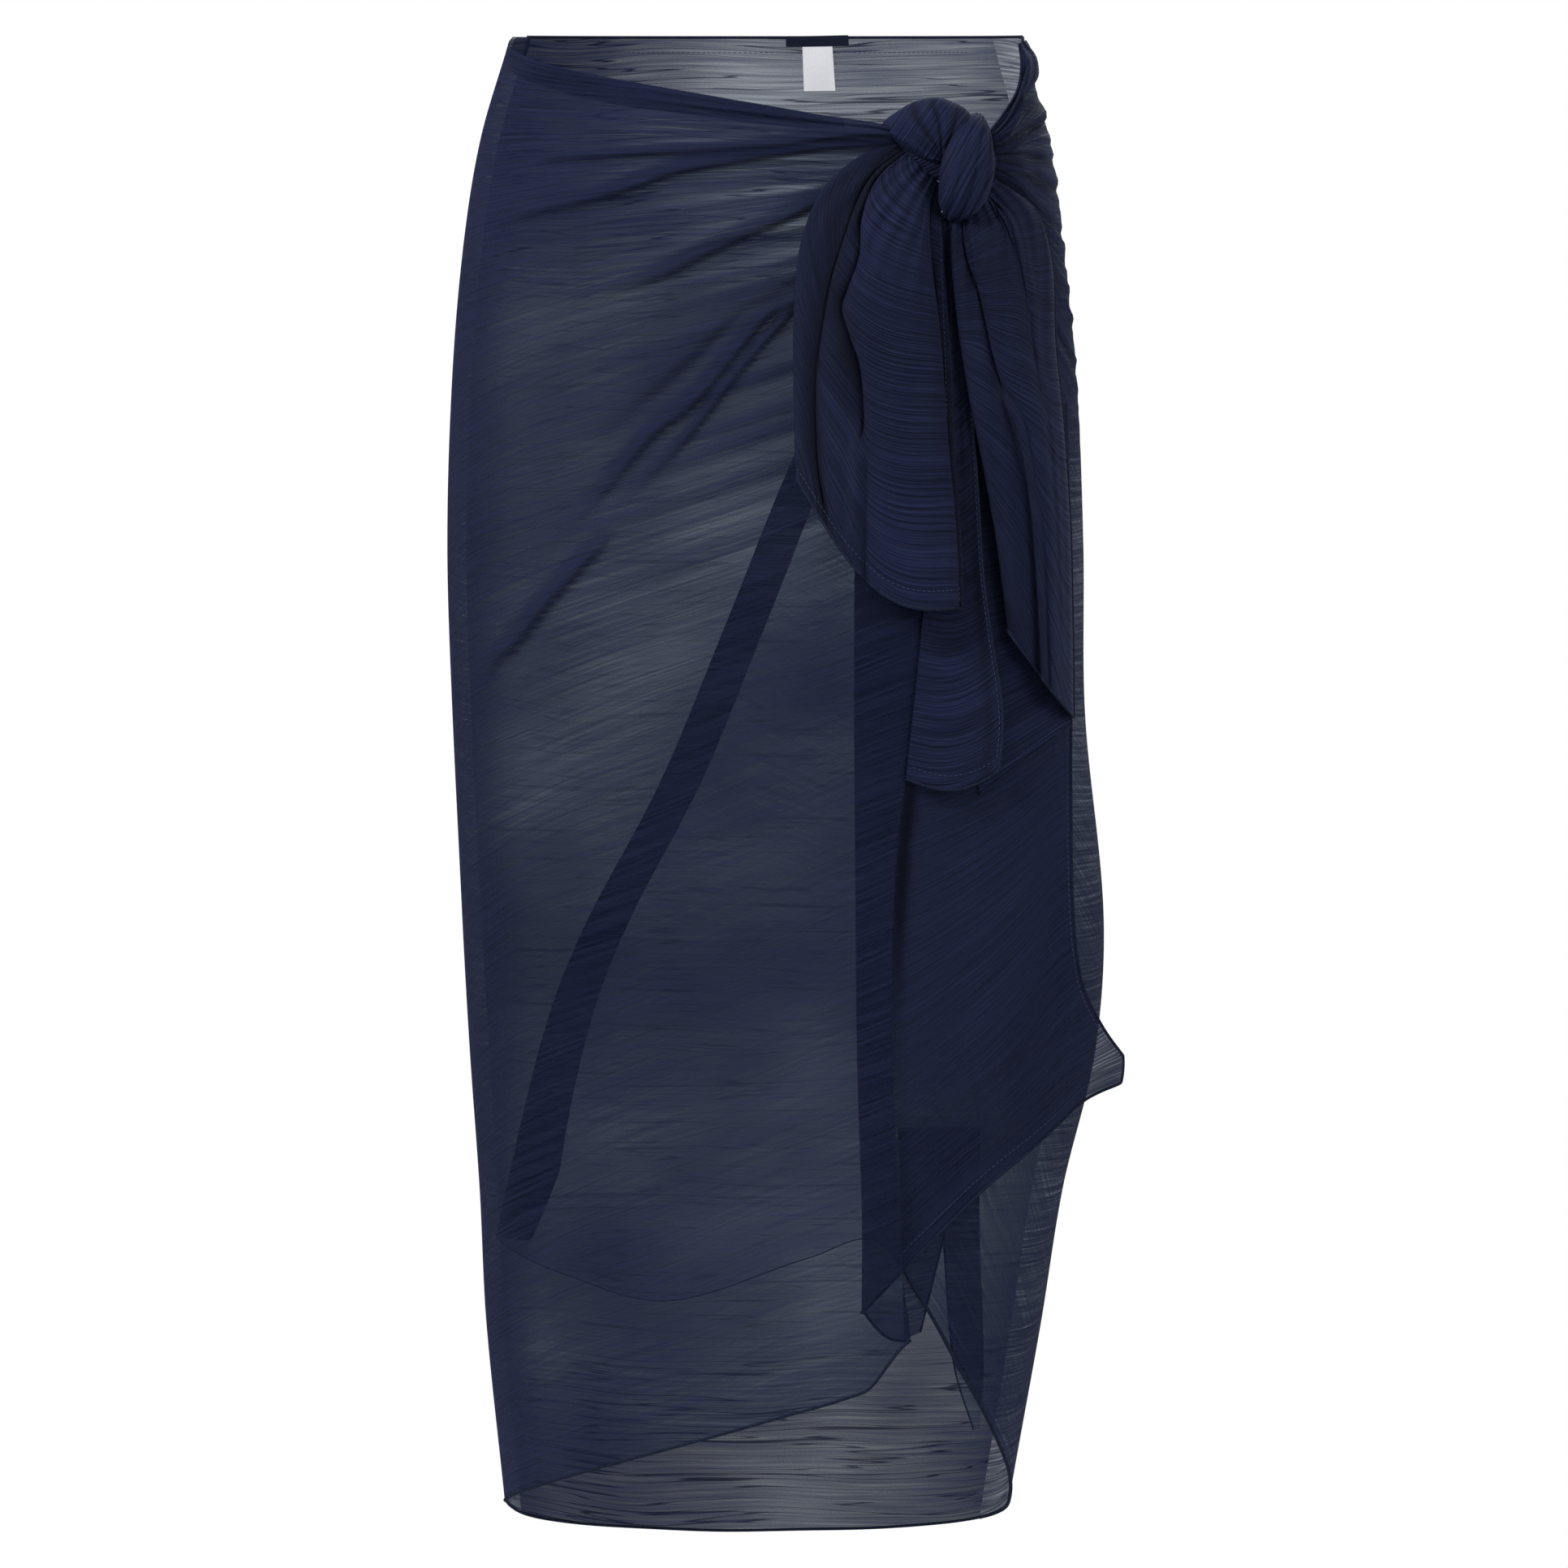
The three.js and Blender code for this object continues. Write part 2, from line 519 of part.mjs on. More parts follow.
// One end of the tie: a gathered corner of the cloth with folds down it
function tieEnd(table, folds, sag, columns) {
  const rows = stations(13, 250, { first: false });
  const across = stations(columns, 120);
  const grid = rows.map((v) => across.map((u) => {
    const r = read(table, v);
    let [x, lift] = [mix(r.leftX, r.rightX, u), r.lift];
    const z = mix(r.leftZ, r.rightZ, u) - sag * v * Math.sin(Math.PI * u);
    for (const f of folds) {
      const shape = Math.exp(-(((u - mix(f.top, f.foot, v)) / f.width) ** 2));
      const shown = ease(v, f.from, f.from + 0.3) * (1 - ease(v, f.to - 0.3, f.to));
      lift += f.rise * shape * shown;
      x += f.lean * shape * shown;
    }
    return onForm(angleAt(x, z, lift), z, lift);
  }));
  const last = rows.length - 3;
  return wallOf(grid, hemmed((j, i) => j > last || i < 2 || i > across.length - 3));
}

// A knotted band: a flat tube along a curve, with gathers along it
function knotBand(points, swell) {
  const [sides, steps] = [24, 10];
  const curve = new THREE.CatmullRomCurve3(points.map((p) => new THREE.Vector3(p.x, p.y, p.z)));
  const positions = [];
  const index = [];
  const middle = new THREE.Vector3(KNOT_CENTRE.x, KNOT_CENTRE.y, KNOT_CENTRE.z);
  const sizes = points.map(({ wide, thick }, i) => ({ at: i / (points.length - 1), wide, thick }));
  for (let j = 0; j <= steps; j++) {
    const t = j / steps;
    const ahead = curve.getTangent(t);
    const centre = curve.getPoint(t).addScaledVector(ahead, swell * (2 * t - 1));
    const out = centre.clone().sub(middle).projectOnPlane(ahead).normalize();
    const side = new THREE.Vector3().crossVectors(ahead, out);
    const size = read(sizes, t);
    for (let i = 0; i < sides; i++) {
      const a = (2 * Math.PI * i) / sides;
      const pleat = KNOT_PLEAT_DEPTH * Math.cos(KNOT_PLEATS * 2 * a) * Math.max(Math.sin(a), 0);
      const p = centre.clone()
        .addScaledVector(side, Math.cos(a) * (size.wide + swell))
        .addScaledVector(out, Math.sin(a) * (size.thick + swell + pleat));
      positions.push(p.x, p.y, p.z);
    }
  }
  for (const t of [0, 1])
    positions.push(...curve.getPoint(t).addScaledVector(curve.getTangent(t), swell * (2 * t - 1)).toArray());
  const [firstCap, lastCap] = [(steps + 1) * sides, (steps + 1) * sides + 1];
  for (let i = 0; i < sides; i++) {
    const next = (i + 1) % sides;
    for (let j = 0; j < steps; j++) {
      const [a, b, c, d] = [j * sides + i, j * sides + next, (j + 1) * sides + next, (j + 1) * sides + i];
      index.push(a, b, c, a, c, d);
    }
    index.push(firstCap, next, i, lastCap, steps * sides + i, steps * sides + next);
  }
  const geometry = new THREE.BufferGeometry();
  geometry.setAttribute("position", new THREE.Float32BufferAttribute(positions, 3));
  geometry.setIndex(index);
  const solid = solidOf(geometry);
  if (solid.volume() > 0) return solid;
  geometry.setIndex(index.map((_, k) => index[k - (k % 3) + 2 - (k % 3)]));
  return solidOf(geometry);
}

// A label on the inside of the centre back
function label({ width, top, foot, lift, thick }) {
  const angleOf = (x) => 180 - angleAt(x, 0);
  const grid = [0, 0.5, 1].map((v) => [0, 0.25, 0.5, 0.75, 1].map((u) =>
    onForm(angleOf(LABEL_CENTRE + width * (0.5 - u)), mix(top, foot, v), lift)));
  return wallOf(grid, () => thick);
}

const CLOTH_COLOUR = { color: 0x222a45, roughness: 0.9, metalness: 0, side: THREE.DoubleSide };
const cloth = new THREE.MeshStandardMaterial(CLOTH_COLOUR);
const whiteTape = new THREE.MeshStandardMaterial({ color: 0xe9e9ec, roughness: 0.6, metalness: 0 });
const darkTape = new THREE.MeshStandardMaterial({ color: 0x151a2c, roughness: 0.7, metalness: 0 });

const skirt = new THREE.Group();
function add(name, geometry, material = cloth) {
  const mesh = new THREE.Mesh(geometry, material);
  mesh.name = name;
  skirt.add(mesh);
}

const knotOf = (swell) => knotBand(KNOT_THROUGH, swell)
  .add(knotBand(KNOT_OVER, swell))
  .add(knotBand(KNOT_ROUND, swell));
const knot = knotOf(0);
const knotSpace = knotOf(KNOT_GAP);

add("back_stretch", backStretch());
add("outer_stretch", cutBy(outerStretch(), knotSpace));
add("waist_turn", cutBy(waistTurn(), knotSpace));
add("cascade", cutBy(cascade(), knotSpace));
add("under_stretch", cutBy(underStretch(), knotSpace));
add("inner_corner", innerCorner());
add("tie_end_left", cutBy(tieEnd(LEFT_END, LEFT_END_FOLDS, 27, 17), knotSpace));
add("tie_end_right", cutBy(tieEnd(RIGHT_END, RIGHT_END_FOLDS, 12, 17), knotSpace));
add("knot", geometryOf(knot));
add("waist_label", label(WAIST_LABEL), darkTape);
add("care_label", label(CARE_LABEL), whiteTape);

export default skirt;
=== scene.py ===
import math

import bpy
import numpy as np
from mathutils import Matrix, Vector


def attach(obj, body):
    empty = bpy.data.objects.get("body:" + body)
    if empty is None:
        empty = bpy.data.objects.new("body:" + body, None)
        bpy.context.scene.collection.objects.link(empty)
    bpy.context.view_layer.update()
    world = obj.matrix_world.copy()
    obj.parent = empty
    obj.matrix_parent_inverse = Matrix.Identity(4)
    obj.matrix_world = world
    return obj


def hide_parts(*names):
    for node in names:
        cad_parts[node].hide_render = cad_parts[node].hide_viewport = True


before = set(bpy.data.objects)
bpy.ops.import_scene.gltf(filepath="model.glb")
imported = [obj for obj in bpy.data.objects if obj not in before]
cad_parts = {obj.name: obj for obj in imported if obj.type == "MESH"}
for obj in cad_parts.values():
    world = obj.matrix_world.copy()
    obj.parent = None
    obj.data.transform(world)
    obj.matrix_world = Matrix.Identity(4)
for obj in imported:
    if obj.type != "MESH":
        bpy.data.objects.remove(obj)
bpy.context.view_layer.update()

# Cloth sizes, as in the part's source
DROP = 866
BACK_RISE = 12
BACK_DIP = 29
RIGHT_SEAM = 115
LEFT_SEAM = -105
SIDE = 90
OUTER_LIFT = 4
FOLD_RADIUS = 1.4
CASCADE_LIFT = 4.2
PLEAT_LIFT = CASCADE_LIFT + 2 * FOLD_RADIUS
RIDGE_LIFT = PLEAT_LIFT + 2 * FOLD_RADIUS
PLEAT_START = 0.26
TURN_RADIUS = 1.1
CORNER_FLARE = 14
SWAY = 3
CORNER_RISE = 21
KNOT_LIFT = 12
INNER_LIFT = -2.5

# Sizes and crowding that the looks have for themselves
TURN_DEPTHS = (15, 11, 13, 15, 12, 7)
LEAD_STRIP = 20
PLEAT_SAG = 5
TIE_EDGE_DEPTH = 6
TIE_DENSE = 2.6
KNOT_DENSE = 3.0
HEM_RADIUS = 0.85
LABEL_X = 31
LABEL_LIFT = -2.6
CLOTH_LENGTH = DROP + 20
# Where stretches start along the whole cloth, so that no two show the same crinkles
BACK_START = 400
CASCADE_START = 700
UNDER_START = 1300
INNER_START = 1700


def table(names, *rows):
    """rows with named columns, for read()"""
    a = np.array(rows, float)
    if a[0, 0] > a[-1, 0]:
        a = a[::-1]
    key = a[:, 0]
    slopes = np.empty_like(a)
    slopes[1:-1] = (a[2:] - a[:-2]) / (key[2:] - key[:-2])[:, None]
    slopes[0] = (a[1] - a[0]) / (key[1] - key[0])
    slopes[-1] = (a[-1] - a[-2]) / (key[-1] - key[-2])
    return names.split(), a, slopes


def read(t, at, *columns):
    """the named columns at values of the first one, on smooth curves through the rows"""
    names, rows, slopes = t
    at = np.asarray(at, float)
    key = rows[:, 0]
    i = np.clip(np.searchsorted(key, at, side="right") - 1, 0, len(key) - 2)
    span = key[i + 1] - key[i]
    s = np.clip((at - key[i]) / span, 0, 1)
    found = []
    for name in columns:
        j = names.index(name)
        y0, y1 = rows[i, j], rows[i + 1, j]
        m0, m1 = slopes[i, j] * span, slopes[i + 1, j] * span
        found.append((2 * s**3 - 3 * s**2 + 1) * y0 + (s**3 - 2 * s**2 + s) * m0
                     + (3 * s**2 - 2 * s**3) * y1 + (s**3 - s**2) * m1)
    return found[0] if len(found) == 1 else found


FORM = table(
    "z left right front back",
    (20, -145, 146, 97, 111),
    (0, -148.5, 150, 100, 115),
    (-60, -166, 167, 108, 124),
    (-120, -176, 175, 114, 133),
    (-200, -183, 183, 118, 140),
    (-300, -186, 187, 118, 138),
    (-400, -183, 188, 117, 130),
    (-520, -177, 199, 116, 124),
    (-600, -172, 194, 115, 121),
    (-680, -166.5, 175, 113, 118),
    (-760, -163, 162, 110, 114),
    (-866, -152.5, 143, 104, 108),
    (-900, -149, 138, 102, 106),
)
RIDGE = table(
    "row x z",
    (0, 84, -66),
    (0.08, 86, -78),
    (0.17, 92, -100),
    (0.27, 101, -142),
    (0.36, 102, -205),
    (0.47, 98, -289),
    (0.585, 88, -385),
    (0.695, 75, -484),
    (0.806, 72, -587),
    (0.917, 77, -692),
    (1, 82, -784),
)
RIDGE_BY_HEIGHT = table("z x", *RIDGE[1][:, (2, 1)])
INNER_TURN = table(
    "row x z",
    (0.2, 78, -112),
    (0.28, 66, -150),
    (0.36, 56, -215),
    (0.47, 53, -300),
    (0.585, 52.5, -400),
    (0.695, 53, -500),
    (0.806, 54, -600),
    (0.917, 57, -690),
    (1, 57, -746),
)
CASCADE_EDGE = table(
    "row x z",
    (0.2, 118, -112),
    (0.28, 146, -160),
    (0.4, 168, -245),
    (0.55, 178, -345),
    (0.7, 178, -440),
    (0.85, 180, -532),
    (0.94, 190, -584),
    (1, 205, -618),
)
LEAD = table(
    "row x z",
    (0, 122, -66),
    (0.15, 122, -88),
    (0.27, 108, -112),
    (0.34, 72, -140),
    (0.46, 18, -251),
    (0.58, -20, -344),
    (0.7, -60, -440),
    (0.82, -106, -527),
    (0.9, -130, -590),
    (1, -159, -708),
)
UNDER_ROWS = table(
    "along top foot",
    (0, 0, 0),
    (0.15, 0.04, 0.24),
    (0.27, 0.12, 0.53),
    (0.35, 0.18, 0.8),
    (0.42, 0.25, 1.02),
    (0.5, 0.33, 0.96),
    (0.67, 0.53, 0.8),
    (0.82, 0.73, 0.88),
    (1, 1, 1),
)
INNER_CORNER = table(
    "z left right",
    (-640, 99, 125),
    (-700, 103, 125),
    (-779, 110, 128),
    (-818, 122, 126),
)
LEFT_END = table(
    "row lx lz rx rz lift",
    (0, 74, -72, 104, -98, 16),
    (0.06, 59, -80, 102, -112, 20),
    (0.14, 43, -92, 103, -128, 22),
    (0.22, 31, -106, 104, -143, 21.5),
    (0.35, 21, -132, 106, -172, 20),
    (0.5, 17, -165, 108, -206, 19),
    (0.7, 16.5, -207, 110, -255, 18.5),
    (0.85, 17, -239, 113, -296, 18),
    (1, 18, -268, 115, -341, 18),
)
# The right end of the tie: its full front, the flap that hangs left of it and the cloth behind both
RIGHT_LOBE = table(
    "row lx lz rx rz lift",
    (0, 110, -112, 132, -92, 20),
    (0.08, 109, -130, 146, -99, 21),
    (0.2, 109.5, -148, 160, -112, 21),
    (0.35, 114, -186, 168, -142, 20),
    (0.5, 120, -222, 169.5, -185, 19),
    (0.65, 127, -256, 174, -230, 18),
    (0.8, 135, -300, 178, -290, 17),
    (0.92, 140, -338, 179.5, -355, 16),
    (1, 142, -354, 180, -403, 15.5),
)
RIGHT_FLAP = table(
    "row lx lz rx rz lift",
    (0, 103, -118, 116, -116, 17),
    (0.14, 101, -160, 118, -160, 15),
    (0.25, 99, -205, 119, -205, 14),
    (0.38, 97, -262, 123, -262, 14),
    (0.5, 94, -315, 127, -315, 14),
    (0.7, 90, -362, 134, -360, 14),
    (0.88, 85, -408, 140, -402, 14),
    (1, 81.5, -439, 138, -434, 14),
)
RIGHT_BACK = table(
    "row lx lz rx rz lift",
    (0, 116, -230, 176, -220, 10.2),
    (0.5, 122, -350, 179, -320, 10.2),
    (1, 124, -448, 178, -408, 10.2),
)
# Folds: points along each as (x, z) from the knot outwards, how far it rises, how wide it is above its
# crest at its near and far ends and below it, and how much it thickens the cloth above its crest, which
# also sets the painted shadow below it
OUTER_FOLDS = (
    (((84, -68), (41, -70), (4, -75), (-49, -78), (-114, -79), (-135, -80)), 5, 7, 3, 3, 1.5),
    (
        ((84, -73), (41, -75.5), (-2, -82), (-49, -90), (-86, -102), (-130, -110), (-172, -120)),
        8, 14, 4, 3, 2.2,
    ),
    (
        ((74, -84), (26, -109), (-2, -123), (-30, -136), (-58, -149.5), (-86, -158.5), (-133, -173)),
        7, 9, 7, 3.5, 1.5,
    ),
    (((70, -90), (14, -117), (-16, -128), (-39, -133), (-77, -149)), 2.5, 4, 4, 3, 0.5),
    (((66, -110), (14, -150), (-16, -168), (-49, -199), (-77, -222), (-104, -244)), 3.5, 9, 13, 8, 0.5),
    (
        ((60, -126), (16, -164), (0, -174), (-39, -222), (-63, -241), (-91, -273), (-124, -306)),
        7, 8, 9, 3, 1.5,
    ),
    (((58, -134), (14, -172), (-16, -206), (-39, -236), (-58, -257), (-88, -285)), 4.5, 4, 5, 3, 1.1),
    (((-92, -304), (-121, -336), (-142, -362), (-152, -370), (-166, -388)), 6, 10, 12, 3, 1.1),
)
UNDER_FOLDS = (
    (((126, -72), (138, -48), (147, -22), (152, -8)), 9, 8, 9, 3, 1.5),
    (((128, -76), (146, -64), (160, -52), (168, -40)), 6, 5, 6, 3, 1.2),
    (((128, -80), (150, -76), (172, -74)), 5, 4, 6, 3, 1.0),
    (((128, -85), (150, -88), (174, -96)), 5, 4, 6, 3, 1.0),
    (((128, -90), (150, -102), (174, -122)), 5, 4, 6, 3, 1.0),
    (((126, -96), (146, -116), (172, -150)), 4, 4, 7, 3, 0.8),
)
# Folds down the left end of the tie: where each valley lies, as a share of the way across at each row
LEFT_VALLEYS = table(
    "row first second third",
    (0, 0.2, 0.27, 0.86),
    (0.09, 0.21, 0.28, 0.88),
    (0.2, 0.25, 0.34, 0.9),
    (0.28, 0.245, 0.385, 0.92),
    (0.38, 0.215, 0.335, 0.94),
    (0.43, 0.2, 0.31, 0.945),
    (0.48, 0.185, 0.37, 0.95),
    (0.53, 0.17, 0.43, 0.955),
    (0.63, 0.14, 0.45, 0.965),
    (0.75, 0.13, 0.4, 0.975),
    (0.88, 0.14, 0.38, 0.98),
    (1, 0.2, 0.36, 0.985),
)
LOBE_VALLEYS = table(
    "row first second",
    (0, 0.24, 0.7),
    (0.1, 0.2, 0.72),
    (0.2, 0.2, 0.73),
    (0.28, 0.26, 0.76),
    (0.42, 0.31, 0.8),
    (0.53, 0.38, 0.84),
    (0.6, 0.48, 0.86),
    (0.7, 0.56, 0.88),
    (1, 0.6, 0.9),
)
# The waist edge that rolls outwards between the right side and the knot
ROLL = table(
    "at x z wide",
    (0, 150, -6, 3.5),
    (0.18, 154.5, -16, 8),
    (0.4, 152.5, -32, 9.5),
    (0.72, 139, -54, 9),
    (1, 124, -74, 9),
)
KNOT_THROUGH = table(
    "at x y z wide thick",
    (0, 72, -101, -74, 9, 5),
    (0.25, 86, -105, -76, 13, 7),
    (0.5, 103, -105, -80, 16, 8),
    (0.75, 118, -99, -82, 15, 8),
    (1, 129, -88, -80, 11, 6),
)
# The band over the knot's upper left is a fan of gathers: how far its edge lies from its point, by angle
KNOT_FAN_POINT = (101.6, -84)
KNOT_FAN = table(
    "angle reach high",
    (38, 22, 1),
    (52, 29, 8),
    (66, 33, 11),
    (80, 35, 12),
    (96, 37.5, 12),
    (114, 38.5, 11),
    (132, 39.5, 9),
    (147, 41.5, 6),
    (154, 40, 5),
    (162, 27, 4),
    (176, 14, 3),
    (190, 9, 0.5),
)
KNOT_ROUND = table(
    "at x y z wide thick",
    (0, 121, -100, -59, 6, 6),
    (0.25, 119, -119, -71, 11.5, 7.5),
    (0.5, 115.5, -127, -88, 16, 8.5),
    (0.75, 112.5, -122, -104, 14.5, 8.5),
    (1, 108, -108, -114, 9, 8),
)
KNOT_CENTRE = np.array((103, -86, -86.0))


def ease(t, a, b):
    s = np.clip((np.asarray(t, float) - a) / (b - a), 0, 1)
    return s * s * (3 - 2 * s)


def mix(a, b, t):
    return a + (b - a) * t


def wave(turns):
    return np.sin(2 * np.pi * turns)


def arch(t):
    """0 at both ends and 1 half way"""
    return np.sin(np.pi * t)


def peak(t, middle, width):
    """1 at middle, falling off to both sides within about twice the width"""
    return np.exp(-(((t - middle) / width) ** 2))


def net(down, across):
    """how far down and how far across each point of a sheet lies"""
    return np.meshgrid(down, across, indexing="ij")


def on_form(angle, z, lift=0.0):
    """points of the form at angles round it and heights, moved straight out by lift"""
    angle, z, lift = np.broadcast_arrays(*(np.asarray(value, float) for value in (angle, z, lift)))
    left, right, front, back = read(FORM, z, "left", "right", "front", "back")
    half = (right - left) / 2
    s, c = np.sin(np.radians(angle)), np.cos(np.radians(angle))
    deep = np.where(c > 0, front, back)
    nx, ny = s / half, -c / deep
    n = np.hypot(nx, ny)
    return np.stack([(left + right) / 2 + half * s + nx / n * lift, -deep * c + ny / n * lift, z], -1)


def sine(angle):
    return np.sin(np.radians(angle))


def angle_at(x, z, lift=0.0):
    left, right = read(FORM, z, "left", "right")
    half = (right - left) / 2 + lift
    return np.degrees(np.arcsin(np.clip((x - (left + right) / 2) / half, -0.999, 0.999)))


def at_front(x, z, lift):
    return on_form(angle_at(x, z, lift), z, lift)


def fold_rise(folds, x, z, fade_in=0.1):
    """how far folds raise a point of the front, how much they thicken the cloth there, and how deep it
    lies under a fold's crest, a mask for painted shadow below the crest"""
    rise, dark, deep = np.zeros(x.shape), np.zeros(x.shape), np.zeros(x.shape)
    for points, height, above_near, above_far, below, thick in folds:
        p = np.array(points, float)
        fine = np.linspace(0, 1, 33)
        path = table("at x z", *np.column_stack([np.linspace(0, 1, len(p)), p]))
        px, pz = read(path, fine, "x", "z")
        best = np.full(x.shape, 1e9)
        side, along = np.zeros(x.shape), np.zeros(x.shape)
        for i in range(len(fine) - 1):
            dx, dz = px[i + 1] - px[i], pz[i + 1] - pz[i]
            s = np.clip(((x - px[i]) * dx + (z - pz[i]) * dz) / (dx * dx + dz * dz), 0, 1)
            ox, oz = x - px[i] - s * dx, z - pz[i] - s * dz
            away = np.hypot(ox, oz)
            near = away < best
            best = np.where(near, away, best)
            side = np.where(near, oz - ox * dz / dx, side)
            along = np.where(near, fine[i] + s * (fine[i + 1] - fine[i]), along)
        above = mix(above_near, above_far, along)
        width = np.where(side > 0, above, below)
        fade = ease(along, -fade_in, fade_in) * (1 - ease(along, 0.6, 1.0))
        rise += height * fade * peak(best, 0, width)
        away = np.where(side > 0, best, -best)
        past = np.maximum(away - 0.45 * above, 0) / (0.5 * above)
        dark += thick * fade * np.exp(-(past**2)) * ease(away, -1.6, 0.6)
        deep += thick / (thick + 0.5) * fade * peak(away, -0.45 * below, 0.4 * below)
    return rise, dark, np.clip(deep, 0, 1)


def behind(angle):
    """0 at the front and sides and 1 at the centre back"""
    return np.maximum(-np.cos(np.radians(angle)), 0)


def top_at(angle):
    return behind(angle) * BACK_RISE


def hem_at(angle):
    return -DROP - behind(angle) ** 0.8 * BACK_DIP


# Meshes

PIECES = []


def new_object(name, verts, faces, material, smooth=True):
    mesh = bpy.data.meshes.new(name)
    mesh.from_pydata([tuple(v) for v in verts], [], faces)
    mesh.validate()
    if smooth:
        mesh.polygons.foreach_set("use_smooth", [True] * len(mesh.polygons))
    ob = bpy.data.objects.new(name, mesh)
    bpy.context.scene.collection.objects.link(ob)
    mesh.materials.append(material)
    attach(ob, "root")
    PIECES.append(ob)
    return ob


def weave_in(mesh, flat, dense, painted_shade, crinkle):
    """what the material reads: where each vertex lies in the flat cloth, in metres, and its looks there"""
    loops = np.empty(len(mesh.loops), int)
    mesh.loops.foreach_get("vertex_index", loops)
    mesh.uv_layers.new(name="Cloth").data.foreach_set("uv", flat[loops].ravel())
    for title, values in (("dense", dense), ("painted_shade", painted_shade), ("crinkle", crinkle)):
        attribute = mesh.attributes.new(title, "FLOAT", "POINT")
        attribute.data.foreach_set("value", np.full(len(mesh.vertices), values, float))


def sheet_object(name, points, across, down, dense, painted_shade, crinkle, material):
    """an open sheet from a grid of points in mm. across and down are where each point lies in the flat
    cloth, in mm, dense is how crowded the cloth is there, the next is painted shade, how much its colour
    is darkened deep between folds and in shadow, from 0 to 1, and crinkle how strongly its crinkles show."""
    m, n = points.shape[:2]
    verts = points.reshape(-1, 3) / 1000
    grid = np.arange(m * n).reshape(m, n)
    quads = np.stack([grid[:-1, :-1], grid[1:, :-1], grid[1:, 1:], grid[:-1, 1:]], -1).reshape(-1, 4)
    ob = new_object(name, verts, quads.tolist(), material)
    given = (across, down, dense, painted_shade, crinkle)
    across, down, *looks = (np.broadcast_to(value, (m, n)).ravel() for value in given)
    weave_in(ob.data, np.column_stack([across, down]) / 1000, *looks)
    return ob


def crowding(points, nominal):
    """how crowded the rows are: their spacing in the flat cloth over their spacing here"""
    gap = np.linalg.norm(np.diff(points, axis=0), axis=2)
    gap = np.vstack([gap, gap[-1:]])
    nominal = np.append(nominal, nominal[-1])[:, None]
    return np.clip(nominal / np.maximum(gap, 1e-6), 0.6, 6)


def lengths(points):
    """how far along its row each point lies, in mm"""
    step = np.linalg.norm(np.diff(points, axis=1), axis=2)
    return np.hstack([np.zeros((points.shape[0], 1)), np.cumsum(step, axis=1)])


def stations(count, crowd=1.0):
    return np.linspace(0, 1, count + 1) ** crowd


def tube(name, points, radius, material, sides=8):
    """a closed bead along a line of points in mm. radius may change along it."""
    p = np.asarray(points, float)
    radius = np.broadcast_to(radius, len(p))[:, None, None]
    ahead = np.gradient(p, axis=0)
    ahead /= np.linalg.norm(ahead, axis=1)[:, None]
    up = np.array((0.02, 0.03, 1.0))
    side = np.cross(ahead, up)
    weak = np.linalg.norm(side, axis=1) < 0.3
    side[weak] = np.cross(ahead[weak], np.array((1.0, 0.1, 0)))
    side /= np.linalg.norm(side, axis=1)[:, None]
    other = np.cross(ahead, side)
    a = np.linspace(0, 2 * math.pi, sides, endpoint=False)[None, :, None]
    ring = p[:, None] + radius * (np.cos(a) * side[:, None] + np.sin(a) * other[:, None])
    n = len(p)
    verts = ring.reshape(-1, 3) / 1000
    faces = []
    for i in range(n - 1):
        for k in range(sides):
            j = (k + 1) % sides
            faces.append((i * sides + k, i * sides + j, (i + 1) * sides + j, (i + 1) * sides + k))
    faces.append(tuple(range(sides))[::-1])
    faces.append(tuple(range((n - 1) * sides, n * sides)))
    return new_object(name, verts, faces, material)


def stitches(name, lines, material, pitch=3.2, length=2.1, radius=0.22):
    """short threads in a row along lines of points in mm, all in one mesh"""
    verts, faces = [], []
    for line in lines:
        p = np.asarray(line, float)
        step = np.linalg.norm(np.diff(p, axis=0), axis=1)
        run = np.append(0, np.cumsum(step))
        for start in np.arange(1.0, run[-1] - length, pitch):
            ends = np.column_stack([np.interp((start, start + length), run, p[:, k]) for k in range(3)])
            ahead = (ends[1] - ends[0]) / length
            side = np.cross(ahead, (0.1, 1, 0.05))
            side /= np.linalg.norm(side)
            other = np.cross(ahead, side)
            base = len(verts)
            for share, swell in ((0, 0.5), (0.3, 1), (0.7, 1), (1, 0.5)):
                middle = mix(ends[0], ends[1], share)
                for k in range(5):
                    a = 2 * math.pi * k / 5
                    out = math.cos(a) * side + math.sin(a) * other
                    verts.append((middle + radius * swell * out) / 1000)
            for i in range(3):
                near = base + i * 5
                far = near + 5
                for k in range(5):
                    j = (k + 1) % 5
                    faces.append((near + k, near + j, far + j, far + k))
            faces.append(tuple(base + k for k in range(5))[::-1])
            faces.append(tuple(base + 15 + k for k in range(5)))
    return new_object(name, verts, faces, material)


# Materials


